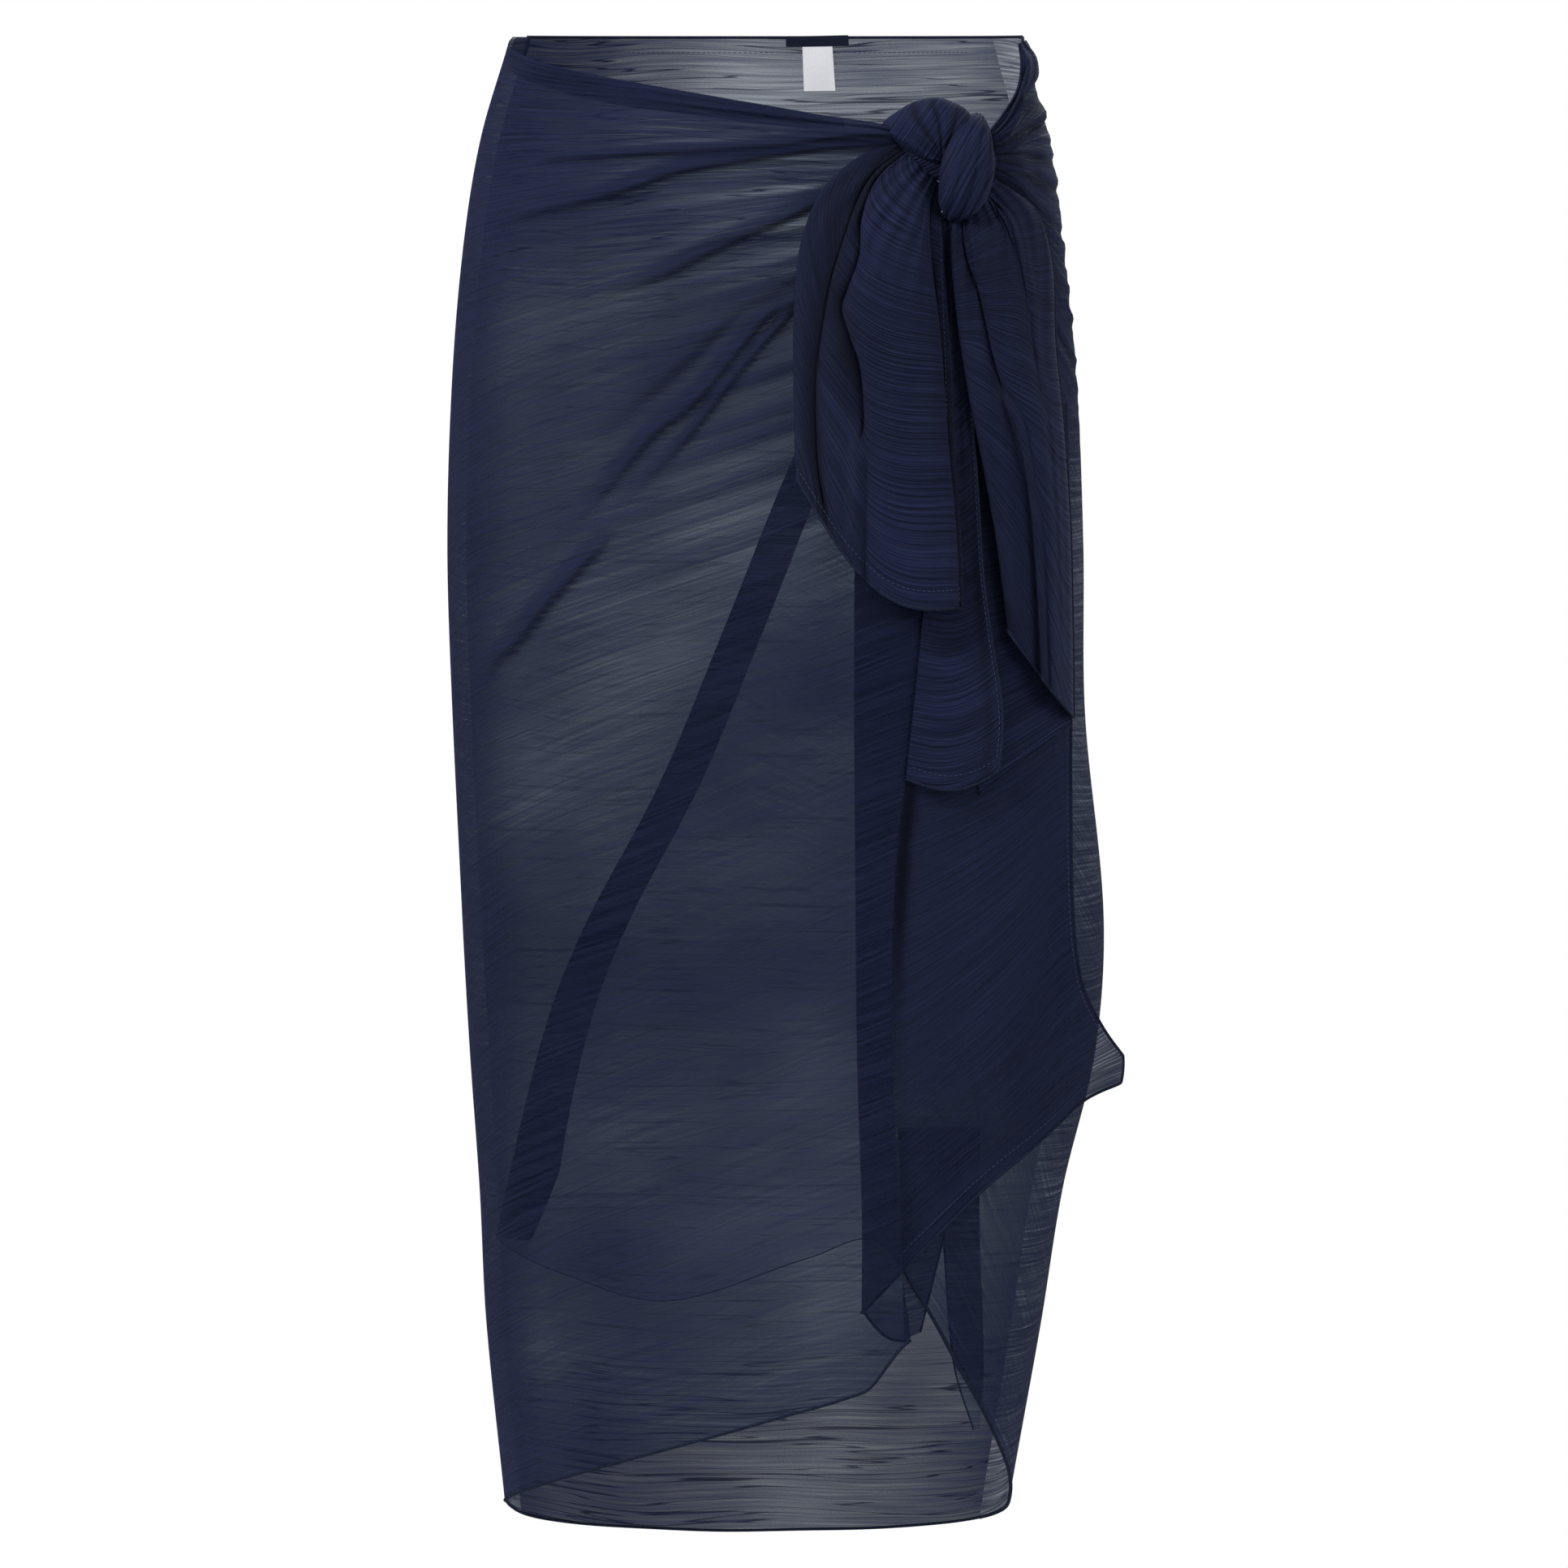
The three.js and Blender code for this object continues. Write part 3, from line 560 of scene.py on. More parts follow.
class Nodes:
    """short names for making the nodes of a material or of the world"""

    def __init__(self, owner):
        owner.use_nodes = True
        self.owner = owner
        self.tree = owner.node_tree
        self.tree.nodes.clear()

    def add(self, kind, inputs=None, **settings):
        node = self.tree.nodes.new(kind)
        for key, value in settings.items():
            setattr(node, key, value)
        for key, value in (inputs or {}).items():
            self.put(node.inputs[key], value)
        return node

    def put(self, socket, value):
        if isinstance(value, bpy.types.NodeSocket):
            self.tree.links.new(value, socket)
        elif isinstance(value, bpy.types.Node):
            self.tree.links.new(value.outputs[0], socket)
        else:
            socket.default_value = value

    def math(self, operation, a, b=0.0):
        return self.add("ShaderNodeMath", {0: a, 1: b}, operation=operation).outputs[0]

    def noise(self, vector, scale, detail=2.0, rough=0.5, at=(0, 0, 0)):
        """noise stretched along the cloth: scale is (along, down) in waves for each metre"""
        placed = self.add("ShaderNodeMapping", {"Vector": vector, "Location": at, "Scale": (*scale, 1)})
        return self.add(
            "ShaderNodeTexNoise",
            {"Vector": placed.outputs[0], "Scale": 1.0, "Detail": detail, "Roughness": rough},
            noise_dimensions="2D",
        ).outputs["Fac"]

    def band(self, value, low, high, to_low, to_high):
        return self.add(
            "ShaderNodeMapRange",
            {"Value": value, "From Min": low, "From Max": high, "To Min": to_low, "To Max": to_high},
        ).outputs[0]

    def ramp(self, value, *stops):
        node = self.add("ShaderNodeValToRGB", {"Fac": value})
        while len(node.color_ramp.elements) < len(stops):
            node.color_ramp.elements.new(0.5)
        for element, (place, colour) in zip(node.color_ramp.elements, stops):
            element.position = place
            element.color = (*colour, 1)
        return node.outputs["Color"]


def crinkled_cloth(name, through, dark, light, glow, bump, lines, streaks, even=1.0, spacing=700,
                   seed=0.0):
    """crinkled chiffon. through is the share of light that one flat layer lets straight through, dark and
    light are its colours, glow is how much of what it scatters comes out at the back, bump is how rough it
    looks, lines is how strong the deep crinkles are, streaks and even how strong the broader and the fine
    ones are, and spacing how many there are in a metre."""
    n = Nodes(bpy.data.materials.new(name))
    uv = n.add("ShaderNodeUVMap", uv_map="Cloth").outputs[0]
    drift = n.noise(uv, (6, 9), 1.0, at=(seed, 3, 0))
    shift = n.math("MULTIPLY", n.math("SUBTRACT", drift, 0.5), 0.016)
    bent = n.add("ShaderNodeVectorMath", {0: uv}, operation="ADD")
    n.put(bent.inputs[1], n.add("ShaderNodeCombineXYZ", {"Y": shift}).outputs[0])
    bent = bent.outputs[0]
    coarse = n.noise(bent, (6, spacing * 0.35), 1.0, 0.5, at=(seed, 0, 0))
    crease = n.band(n.math("ABSOLUTE", n.math("SUBTRACT", coarse, 0.5)), 0.0, 0.025, 1.0, 0.0)
    fine = n.noise(bent, (13, spacing), 2.0, 0.55, at=(seed, 1, 0))
    streak = n.noise(bent, (8, spacing * 0.45), 2.0, 0.5, at=(seed, 6, 0))
    weave = n.noise(uv, (1500, 1500), 1.0, at=(seed, 2, 0))
    broad = n.noise(uv, (5, 8), 2.0, 0.5, at=(seed, 5, 0))
    dense = n.add("ShaderNodeAttribute", attribute_name="dense").outputs["Fac"]
    crinkle = n.add("ShaderNodeAttribute", attribute_name="crinkle").outputs["Fac"]
    crowd = n.band(fine, 0.25, 0.75, -0.4 * even, 0.4 * even)
    crowd = n.math("ADD", crowd, n.math("MULTIPLY", crease, 0.4 * lines))
    crowd = n.math("ADD", crowd, n.band(streak, 0.3, 0.7, -0.2 * streaks, 0.2 * streaks))
    crowd = n.math("ADD", n.math("MULTIPLY", crowd, crinkle), 1.0)
    crowd = n.math("MULTIPLY", crowd, n.band(weave, 0.2, 0.8, 0.88, 1.12))
    crowd = n.math("MULTIPLY", crowd, n.band(broad, 0.3, 0.7, 0.76, 1.2))
    crowd = n.math("MULTIPLY", crowd, dense)
    cover = n.math("SUBTRACT", 1.0, n.math("POWER", through, crowd))
    height = n.math("ADD", fine, n.math("MULTIPLY", crease, -0.25 * lines))
    height = n.math("ADD", height, n.math("MULTIPLY", weave, 0.1))
    raised = n.add("ShaderNodeBump", {"Height": height, "Strength": bump, "Distance": 0.0012})
    tone = n.math("MULTIPLY", fine, 0.8 - 0.3 * streaks)
    tone = n.math("ADD", tone, n.math("MULTIPLY", streak, 0.3 * streaks))
    tone = n.math("ADD", tone, n.math("MULTIPLY", broad, 0.2))
    # painted shade: the colour is a little darker in the deep crinkles' creases
    tone = n.math("SUBTRACT", tone, n.math("MULTIPLY", crease, 0.08 * lines))
    colour = n.ramp(tone, (0.36, dark), (0.64, light))
    # painted shade: the attribute read here darkens the colour towards near black, where the cloth lies
    # deep between folds, below fold crests and between the tie's parts
    deep = n.add("ShaderNodeAttribute", attribute_name="painted_shade").outputs["Fac"]
    colour = n.add(
        "ShaderNodeMix",
        {"Factor": n.math("MULTIPLY", deep, 0.8), 6: colour, 7: (0.0012, 0.0016, 0.004, 1)},
        data_type="RGBA",
    ).outputs[2]
    front = n.add(
        "ShaderNodeBsdfPrincipled",
        {"Base Color": colour, "Roughness": 0.8, "Normal": raised.outputs[0], "Sheen Weight": 0.05,
         "Sheen Roughness": 0.5, "Sheen Tint": (0.4, 0.5, 0.9, 1), "Specular IOR Level": 0.15},
    )
    back = n.add("ShaderNodeBsdfTranslucent", {"Color": colour, "Normal": raised.outputs[0]})
    solid = n.add("ShaderNodeMixShader", {0: glow, 1: front.outputs[0], 2: back.outputs[0]})
    clear = n.add("ShaderNodeBsdfTransparent", {"Color": (0.86, 0.93, 1, 1)})
    both = n.add("ShaderNodeMixShader", {0: cover, 1: clear.outputs[0], 2: solid.outputs[0]})
    n.add("ShaderNodeOutputMaterial", {"Surface": both.outputs[0]})
    return n.owner


def plain_weave(name, dark, light, rough, scale, bump=0.2):
    """tape, thread, hem and floor: small noise in place of a weave"""
    n = Nodes(bpy.data.materials.new(name))
    place = n.add("ShaderNodeTexCoord").outputs["Object"]
    grain = n.add("ShaderNodeTexNoise", {"Vector": place, "Scale": scale, "Detail": 3.0}).outputs["Fac"]
    colour = n.ramp(grain, (0.35, dark), (0.65, light))
    raised = n.add("ShaderNodeBump", {"Height": grain, "Strength": bump, "Distance": 0.0004})
    shader = n.add(
        "ShaderNodeBsdfPrincipled",
        {"Base Color": colour, "Roughness": rough, "Normal": raised.outputs[0], "Specular IOR Level": 0.1},
    )
    n.add("ShaderNodeOutputMaterial", {"Surface": shader.outputs[0]})
    return n.owner


NAVY_DARK = (0.0082, 0.0118, 0.037)
NAVY_LIGHT = (0.0185, 0.0252, 0.071)
# the gathered colours are darker than the sheer ones, partly for the denser gathered cloth and partly as
# painted shade of its gathers
GATHERED_DARK = (0.0036, 0.0055, 0.0215)
GATHERED_LIGHT = (0.0132, 0.019, 0.059)
SHEER = crinkled_cloth("sheer_cloth", 0.3, NAVY_DARK, NAVY_LIGHT, glow=0.35, bump=0.6, lines=0.9, even=1.2,
                       streaks=0.6)
BACK = crinkled_cloth("back_cloth_sheer", 0.115, NAVY_DARK, NAVY_LIGHT, glow=0.35, bump=0.6, lines=2.2,
                      even=0.5, streaks=0.3, spacing=640, seed=4.0)
DENSE = crinkled_cloth("gathered_cloth", 0.1, GATHERED_DARK, GATHERED_LIGHT, glow=0.05, bump=1.8,
                       lines=0.15, streaks=0.12, spacing=640, seed=9.0)
HEM = plain_weave("rolled_hem_cloth", (0.006, 0.009, 0.022), (0.014, 0.019, 0.04), 0.85, 900)
THREAD = plain_weave("stitch_thread", (0.026, 0.038, 0.085), (0.06, 0.08, 0.15), 0.7, 3000)
DARK_TAPE = plain_weave("dark_label_tape", (0.004, 0.006, 0.016), (0.011, 0.015, 0.032), 0.6, 2500)
WHITE_TAPE = plain_weave("white_label_tape", (0.74, 0.75, 0.78), (0.86, 0.86, 0.88), 0.45, 2500, bump=0.1)


# The stretches of cloth


def ripple(v, strength, *waves):
    """small gathers: a sum of waves down the cloth, given as (count, phase, share)"""
    total = 0
    for count, phase, share in waves:
        total = total + share * wave(count * v + phase)
    return strength * total


def side_crowd(angle):
    """the cloth is seen more along its threads towards the sides, where its crinkles stand closer"""
    return 0.8 * ease(np.abs(angle), 50, 88) * (1 - ease(np.abs(angle), 100, 130))


def back_cloth():
    v, u = net(stations(200), np.linspace(0, 1, 240))
    angle = mix(RIGHT_SEAM, 360 + LEFT_SEAM, u)
    z = mix(top_at(angle), hem_at(angle), v)
    hem_wave = 2.2 * ease(v, 0.8, 1) * sine(angle * 9) * arch(u)
    soft = 1.2 * wave(2.1 * u + 0.6 * v) * arch(u) * ease(v, 0.1, 0.4)
    p = on_form(angle, z, hem_wave + soft)
    dense = 0.95 + 0.45 * v + 0.5 * side_crowd(180 - np.abs(angle - 180))
    dense = dense + (0.3 * ease(angle, 186, 206) + 0.3 * ease(angle, 206, 235)) * (1 - ease(v, 0.1, 0.2))
    crinkle = mix(mix(1.2, 0.25, ease(v, 0.1, 0.2)), 0.8, ease(v, 0.86, 0.92))
    return p, lengths(p) + BACK_START, v * CLOTH_LENGTH, dense, 0 * u, crinkle


def outer_point(u, v, drop=0.0):
    end_x, end_z = read(RIDGE, v, "x", "z")
    stop = angle_at(end_x, end_z, RIDGE_LIFT)
    angle = mix(LEFT_SEAM, stop, u)
    share = np.clip((angle + SIDE) / (stop + SIDE), 0, 1)
    power = mix(0.9, 1.3, ease(v, 0, 0.25))
    side = mix(top_at(angle), hem_at(angle), v)
    z = mix(side, end_z, share**power) + CORNER_RISE * ease(u, 0.93, 1) * ease(v, 0.94, 1)
    inner_x, inner_z = read(INNER_TURN, np.maximum(v, 0.2), "x", "z")
    over = angle_at(inner_x, inner_z) - 6
    lift = mix(OUTER_LIFT * ease(angle, LEFT_SEAM + 5, LEFT_SEAM + 25), RIDGE_LIFT,
               ease((angle - over) / 12, -1, 0))
    p = on_form(angle, z)
    rise, dark, deep = fold_rise(OUTER_FOLDS, p[..., 0], p[..., 2])
    shown = ease(angle, -95, -72) * (1 - ease(u, 0.93, 1))
    gathers = ripple(v + 0.004 * np.sin(7 * u), 1.0, (26, 0.1, 0.8), (43, 0.7, 0.6), (67, 0.2, 0.5))
    gathers = gathers * ease(u, 0.3, 0.9) * (1 - ease(v, 0.38, 0.52))
    sag = 1.4 * wave(1.6 * v + 0.8 * u) * arch(u) * ease(v, 0.45, 0.7)
    flat = 1 - ease(u, 0.93, 1)
    lift = lift - drop + rise * shown + (gathers + sag) * flat
    # painted shadow below the fold crests, both as thicker cloth and as darker colour
    dark = 1.3 * dark + 0.6 * gathers * ease(u, 0.3, 0.85) + 2.6 * deep
    return on_form(angle, z, lift), dark * shown, deep * shown, angle


def ridge_point(v):
    x, z = read(RIDGE, v, "x", "z")
    return x, z + CORNER_RISE * ease(v, 0.94, 1)


def pleat_layer(ridge, end_z, at, inner_z, share, v):
    """the pleat's middle layer. share runs from the ridge to the inner turn."""
    sag = PLEAT_SAG * arch(share) * ease(v, 0.94, 1)
    return on_form(mix(ridge, at, share), mix(end_z, inner_z, share) - sag, PLEAT_LIFT)


def outer_cloth():
    rows, cols = stations(300, 1.2), np.append(np.linspace(0, 0.92, 225), np.linspace(0.923, 1, 26))
    v, u = net(rows, cols)
    p, dark, deep, angle = outer_point(u, v)
    v1 = rows[:, None]
    end_x, end_z = ridge_point(v1)
    ridge = angle_at(end_x, end_z, RIDGE_LIFT)
    reach = np.degrees(FOLD_RADIUS / read(FORM, end_z, "right"))
    t = np.radians(np.linspace(20, 180, 9))[None]
    turn = on_form(ridge + reach * np.sin(t), end_z, PLEAT_LIFT + FOLD_RADIUS * (1 + np.cos(t)))
    inner_x, inner_z = read(INNER_TURN, np.maximum(v1, 0.2), "x", "z")
    at = angle_at(inner_x, inner_z, PLEAT_LIFT)
    share = mix(0.03, 1.0, ease(v1, PLEAT_START - 0.1, PLEAT_START)) * np.linspace(0.05, 0.5, 8)[None]
    half = pleat_layer(ridge, end_z, at, inner_z, share, v1)
    p = np.concatenate([p, turn, half], axis=1)
    extra = np.zeros((p.shape[0], p.shape[1] - u.shape[1]))
    dense = 0.55 + 0.45 * crowding(p, np.diff(rows) * DROP)
    thin = 0.42 * peak(p[..., 0], -5, 95) * ease(-p[..., 2], 330, 560)
    seam = (0.55 + 0.7 * v1) * ease(-angle, 80, 92)
    sides = 3.6 * side_crowd(angle) * (1 - ease(-angle, 84, 98))
    dense = dense * (1 - thin) + np.hstack([dark + sides + seam, extra])
    return p, lengths(p), rows[:, None] * CLOTH_LENGTH, dense, np.hstack([deep, extra])


def waist_turn_cloth():
    s, u = net(np.linspace(0.02, 1, 14), np.linspace(0.0, 0.9, 240))
    start, further = outer_point(u, 0 * u)[0], outer_point(u, 0 * u + 0.02)[0]
    rate = (start[..., 2] - further[..., 2]) / 0.02
    depth = s * np.interp(u, (0, 0.16, 0.35, 0.55, 0.75, 1), TURN_DEPTHS)
    p, dark = outer_point(u, depth / rate, 2 * TURN_RADIUS)[:2]
    return p, lengths(p), depth + 40, 2.7 + 0.6 * dark


def pleat_and_cascade():
    rows = mix(PLEAT_START - 0.06, 1, stations(230))
    v = rows[:, None]
    inner_x, inner_z = read(INNER_TURN, v, "x", "z")
    edge_x, edge_z = read(CASCADE_EDGE, v, "x", "z")
    end_x, end_z = ridge_point(v)
    ridge = angle_at(end_x, end_z, RIDGE_LIFT)
    at = angle_at(inner_x, inner_z, PLEAT_LIFT)
    share = np.linspace(0.5, 1, 10)[None, :-1]
    middle = pleat_layer(ridge, end_z, at, inner_z, share, v)
    reach = np.degrees(FOLD_RADIUS / read(FORM, inner_z, "right"))
    t = np.radians(np.linspace(180, 15, 10))[None]
    turn = on_form(at - reach * np.sin(t), inner_z, CASCADE_LIFT + FOLD_RADIUS * (1 - np.cos(t)))
    stop = angle_at(edge_x, edge_z, CASCADE_LIFT)
    u = np.linspace(0, 1, 170)[None]
    flare = CORNER_FLARE * ease(v, 0.88, 1) * ease(u, 0.7, 1)
    sway = SWAY * ease(u, 0.3, 0.55) * (1 - ease(u, 0.65, 0.9)) * ease(v, 0.4, 0.7)
    soft = 1.0 * wave(1.7 * u + 0.5 * v) * ease(u, 0.3, 0.5) * (1 - ease(u, 0.9, 1)) + 0.6
    angle = mix(at, stop, u)
    straight = (sine(angle) - sine(at)) / (sine(stop) - sine(at))
    z = mix(inner_z, edge_z, mix(mix(u, ease(u, 0, 1), 0.6), straight, ease(v, 0.8, 1)))
    fall = on_form(angle, z, CASCADE_LIFT + sway + flare + soft * ease(u, 0.3, 0.5) * ease(v, 0.74, 0.9))
    past_ridge = fall[..., 0] - read(RIDGE_BY_HEIGHT, fall[..., 2], "x")
    # painted shadow right of the ridge: darker colour and thicker cloth there
    shade = peak(past_ridge, 4, 4.5) * ease(z, -585, -500) * (1 - ease(z, -455, -430))
    p = np.concatenate([middle, turn, fall], axis=1)
    dense = 0.9 + 0.3 * crowding(p, np.diff(rows) * DROP)
    wide = ease(np.arange(p.shape[1])[None], 19, 60)
    deep = np.hstack([np.zeros((len(rows), 19)), shade])
    return p, lengths(p) + CASCADE_START, v * CLOTH_LENGTH, dense + 1.1 * wide + 3 * deep, deep


def under_cloth():
    rows = stations(240, 1.15)
    v, u = net(rows, np.linspace(0, 1, 200))
    end_x, end_z = read(LEAD, v, "x", "z")
    stop = angle_at(end_x, end_z)
    angle = mix(RIGHT_SEAM, stop, u)
    top, foot = read(UNDER_ROWS, np.clip((SIDE - angle) / (SIDE - stop), 0, 1), "top", "foot")
    side = mix(top_at(angle), hem_at(angle), v)
    z = mix(side, end_z, mix(top, foot, ease(v, 0.3, 0.95)))
    p = on_form(angle, z)
    rise, dark, deep = fold_rise(UNDER_FOLDS, p[..., 0], p[..., 2], 0.2)
    shown = (1 - ease(v, 0.3, 0.45)) * (1 - ease(angle, 68, 92))
    gathers = ripple(v + 0.003 * np.sin(9 * u), 1.3, (41, 0.3, 0.6), (63, 0.2, 0.5), (97, 0.6, 0.35))
    gathers = gathers * ease(u, 0.2, 0.5) * (1 - ease(v, 0.2, 0.3))
    lift = rise * shown + KNOT_LIFT * ease(u, 0.7, 1) * (1 - ease(v, 0.12, 0.25)) + gathers
    p = on_form(angle, z, lift)
    v1 = rows[:, None]
    end_x, end_z = read(LEAD, v1, "x", "z")
    at = angle_at(end_x, end_z)
    left, right = read(FORM, end_z, "left", "right")
    per_mm = np.degrees(2 / (right - left)) / np.maximum(np.cos(np.radians(at)), 0.45)
    t = np.radians(np.linspace(25, 180, 8))[None]
    turn = on_form(at - TURN_RADIUS * per_mm * np.sin(t), end_z, -TURN_RADIUS * (1 - np.cos(t)))
    opened = ease(v1, 0.3, 0.42)
    s = np.linspace(0.08, 1, 14)[None]
    strip = on_form(at + s * (LEAD_STRIP * opened + 2) * per_mm, end_z, -2 * TURN_RADIUS)
    p = np.concatenate([p, turn, strip], axis=1)
    dense = 0.65 + 0.35 * crowding(p, np.diff(rows) * DROP)
    hidden = mix(0.3, 0.1, ease(-p[..., 2], 420, 650))
    dense = dense * mix(hidden, 1.0, ease(p[..., 0], 50, 110))
    near_knot = 2.2 * (1 - ease(v, 0.28, 0.5)) * ease(u, 0.35, 0.8)
    slim = 1 - 0.5 * peak(p[:, :200, 2], -440, 170)
    seam = (0.6 + 1.2 * v) * ease(angle, 80, 94) * slim
    sides = side_crowd(angle) * (1 - ease(angle, 84, 98)) * slim
    strip_dense = np.full((len(rows), 22), 1.9)
    dense = dense + np.hstack([dark * shown + sides + near_knot + seam, strip_dense])
    # painted shade below the folds' crests and in the gathers' valleys
    deep = np.hstack([deep * shown + np.clip(-0.8 * gathers, 0, 0.75), 0 * strip_dense])
    return p, lengths(p) + UNDER_START, v1 * CLOTH_LENGTH, dense, deep


def inner_corner_cloth():
    v, u = net(np.linspace(0, 1, 80), np.linspace(0, 1, 20))
    z = mix(-640, -818, v)
    left, right = read(INNER_CORNER, z, "left", "right")
    p = on_form(angle_at(mix(left, right, u), z), z, INNER_LIFT)
    below_hem = -782 - (p[..., 0] - 112) * 1.54 - z
    return p, INNER_START + u * 26, v * 180 + 700, mix(1.7, 0.35, ease(below_hem, -2, 5))


def inner_flap_cloth():
    """the stitched edge of the inner corner's cloth, seen between the pleat and the cascade's hem"""
    v, u = net(np.linspace(0, 1, 80), np.linspace(0, 1, 30))
    left, right = mix(76, 80, v), mix(119, 89.5, v)
    z = mix(-640, -759 - 4 * (1 - u), v)
    p = on_form(angle_at(mix(left, right, u), z), z, INNER_LIFT + 0.9)
    return p, INNER_START + 40 + u * 40, v * 120 + 600, 1.3 + 0 * u


def tie_end(ends, valleys, heights, merges, sag, rows, cols):
    """one end of the tie: full folds that bulge over the valleys between them. heights are those of the
    folds, and merges the rows between which each valley fills up."""
    v, u = net(stations(rows, 1.1), np.linspace(0, 1, cols))
    lx, lz, rx, rz, lift = read(ends, v, "lx", "lz", "rx", "rz", "lift")
    cuts = read(valleys, v, *valleys[0][1:])
    edges = [np.zeros(v.shape), *cuts, np.ones(v.shape)]
    share, shape = u.copy(), np.zeros(v.shape)
    for k, height in enumerate(heights):
        inside = (u >= edges[k]) & (u <= edges[k + 1])
        wide = np.maximum(edges[k + 1] - edges[k], 1e-6)
        t = np.clip((u - edges[k]) / wide, 0, 1)
        bulge = 0.5 - 0.5 * np.cos(np.pi * t) * (1 + 0.3 * arch(t))
        share = np.where(inside, edges[k] + wide * bulge, share)
        shape = np.where(inside, height * arch(t) ** 0.8, shape)
    whole = max(heights) * arch(u) ** 0.4
    apart, painted_shade = np.ones(v.shape), np.zeros(v.shape)
    for cut, merge in zip(cuts, merges):
        open_here = 1 - ease(v, *merge)
        apart -= peak(u, cut, 0.13) * (1 - open_here)
        # painted shade in each valley while it is open
        painted_shade += peak(u, cut, 0.05) * open_here
    apart = np.clip(apart, 0, 1)
    share = mix(u, share, apart)
    out = mix(whole, shape, apart) * ease(v, -0.12, 0.16)
    fine = 0.25 * wave(8 * u + 1.5 * v) * ease(u, 0, 0.1) * (1 - ease(u, 0.9, 1))
    drag = 0.7 * wave(13 * u + 2.5 * v) * (1 - ease(v, 0.1, 0.5)) * ease(u, 0, 0.1)
    z = mix(lz, rz, share) - sag * v * arch(share)
    x = mix(lx, rx, share)
    lift = lift - TIE_EDGE_DEPTH + out + fine + drag
    return at_front(x, z, lift), u, v, np.clip(painted_shade, 0, 1)


def left_tie_cloth():
    heights = (9.0, 10.0, 20.0, 3.0)
    merges = ((0.86, 1.05), (0.6, 0.76), (0.9, 1.2))
    p, u, v, painted_shade = tie_end(LEFT_END, LEFT_VALLEYS, heights, merges, sag=27, rows=220, cols=260)
    # painted shade in a pit between the folds, half way down
    pit_shade = 1.2 * peak(v, 0.5, 0.1) * peak(u, 0.35, 0.085)
    droop = 34 * (1 - ease(u, 0.1, 0.75)) ** 2
    run_down = 130 * (1 - ease(u, 0.02, 0.24))
    down = v * 250 + droop + run_down * 0.6
    return p, u * 100 + v * 20, down, TIE_DENSE + 0 * u, np.clip(painted_shade + pit_shade, 0, 1)


def right_tie_cloth():
    heights = (9.0, 16.0, 7.0)
    merges = ((0.42, 0.6), (0.02, 0.14))
    p, u, v, painted_shade = tie_end(RIGHT_LOBE, LOBE_VALLEYS, heights, merges, sag=0, rows=220, cols=220)
    sweep = 120 * (1 - u) ** 1.5 * ease(v, 0.05, 0.4)
    return p, u * 90 + v * 60, v * 300 + sweep, TIE_DENSE + 0 * u, painted_shade


def right_flap_cloth():
    """a plain hanging end, whose right edge curls outwards"""
    v, u = net(stations(200), np.linspace(0, 1, 100))
    lx, lz, rx, rz, lift = read(RIGHT_FLAP, v, "lx", "lz", "rx", "rz", "lift")
    curl = 4.5 * ease(u, 0.72, 1) ** 2 * ease(v, 0.3, 0.6)
    gathers = 1.4 * wave(2.6 * u + 0.4 * v) * (1 - ease(v, 0.15, 0.6)) * arch(u)
    soft = 1.0 * arch(u) * wave(0.7 * u + 0.9 * v) * ease(v, 0.3, 0.6)
    x = mix(lx, rx, u) - 1.2 * ease(u, 0.88, 1) * ease(v, 0.4, 0.7)
    z = mix(lz, rz, u) - 9 * v * arch(u)
    lift = lift - 2 + curl + gathers + soft
    # painted shadow, darker at the top under the lobe and in a line along the curled right edge
    shade = 0.55 * (1 - ease(v, 0.35, 0.75)) + 0.5 * peak(u, 0.84, 0.07) * ease(v, 0.4, 0.7)
    return at_front(x, z, lift), u * 60 + v * 20, v * 260 + 6 * u, TIE_DENSE + 0 * u, shade


def right_back_cloth():
    v, u = net(np.linspace(0, 1, 120), np.linspace(0, 1, 100))
    lx, lz, rx, rz, lift = read(RIGHT_BACK, v, "lx", "lz", "rx", "rz", "lift")
    x, z = mix(lx, rx, u), mix(lz, rz, u)
    lift = lift - 2 + 0.4 * wave(1.6 * u + 0.7 * v) * arch(u)
    # painted shadow, darker towards the top and the left, under the lobe and the flap
    shade = 0.7 * (1 - ease(v + 0.35 * u, 0.3, 0.85))
    return at_front(x, z, lift), u * 55 + v * 20, v * 220 - u * 12, TIE_DENSE + 0 * u, shade


def waist_roll():
    """the rolled waist edge, a flat tube of gathered cloth"""
    t, a = net(np.linspace(0, 1, 120), np.linspace(0, 2 * np.pi, 60))
    x, z, wide = read(ROLL, t, "x", "z", "wide")
    slant = 0.75
    pleat = 0.6 * np.sin(7 * a + 9 * t) * np.maximum(np.sin(a), 0)
    x = x + wide * np.cos(a) * slant
    z = z + wide * np.cos(a) * 0.62
    lift = 3.5 + (4.0 * ease(t, 0, 0.25) + pleat) * np.sin(a) + 6 * ease(t, 0.6, 1)
    return at_front(x, z, lift), t * 70, a * 8, TIE_DENSE + 0 * t, 0 * t


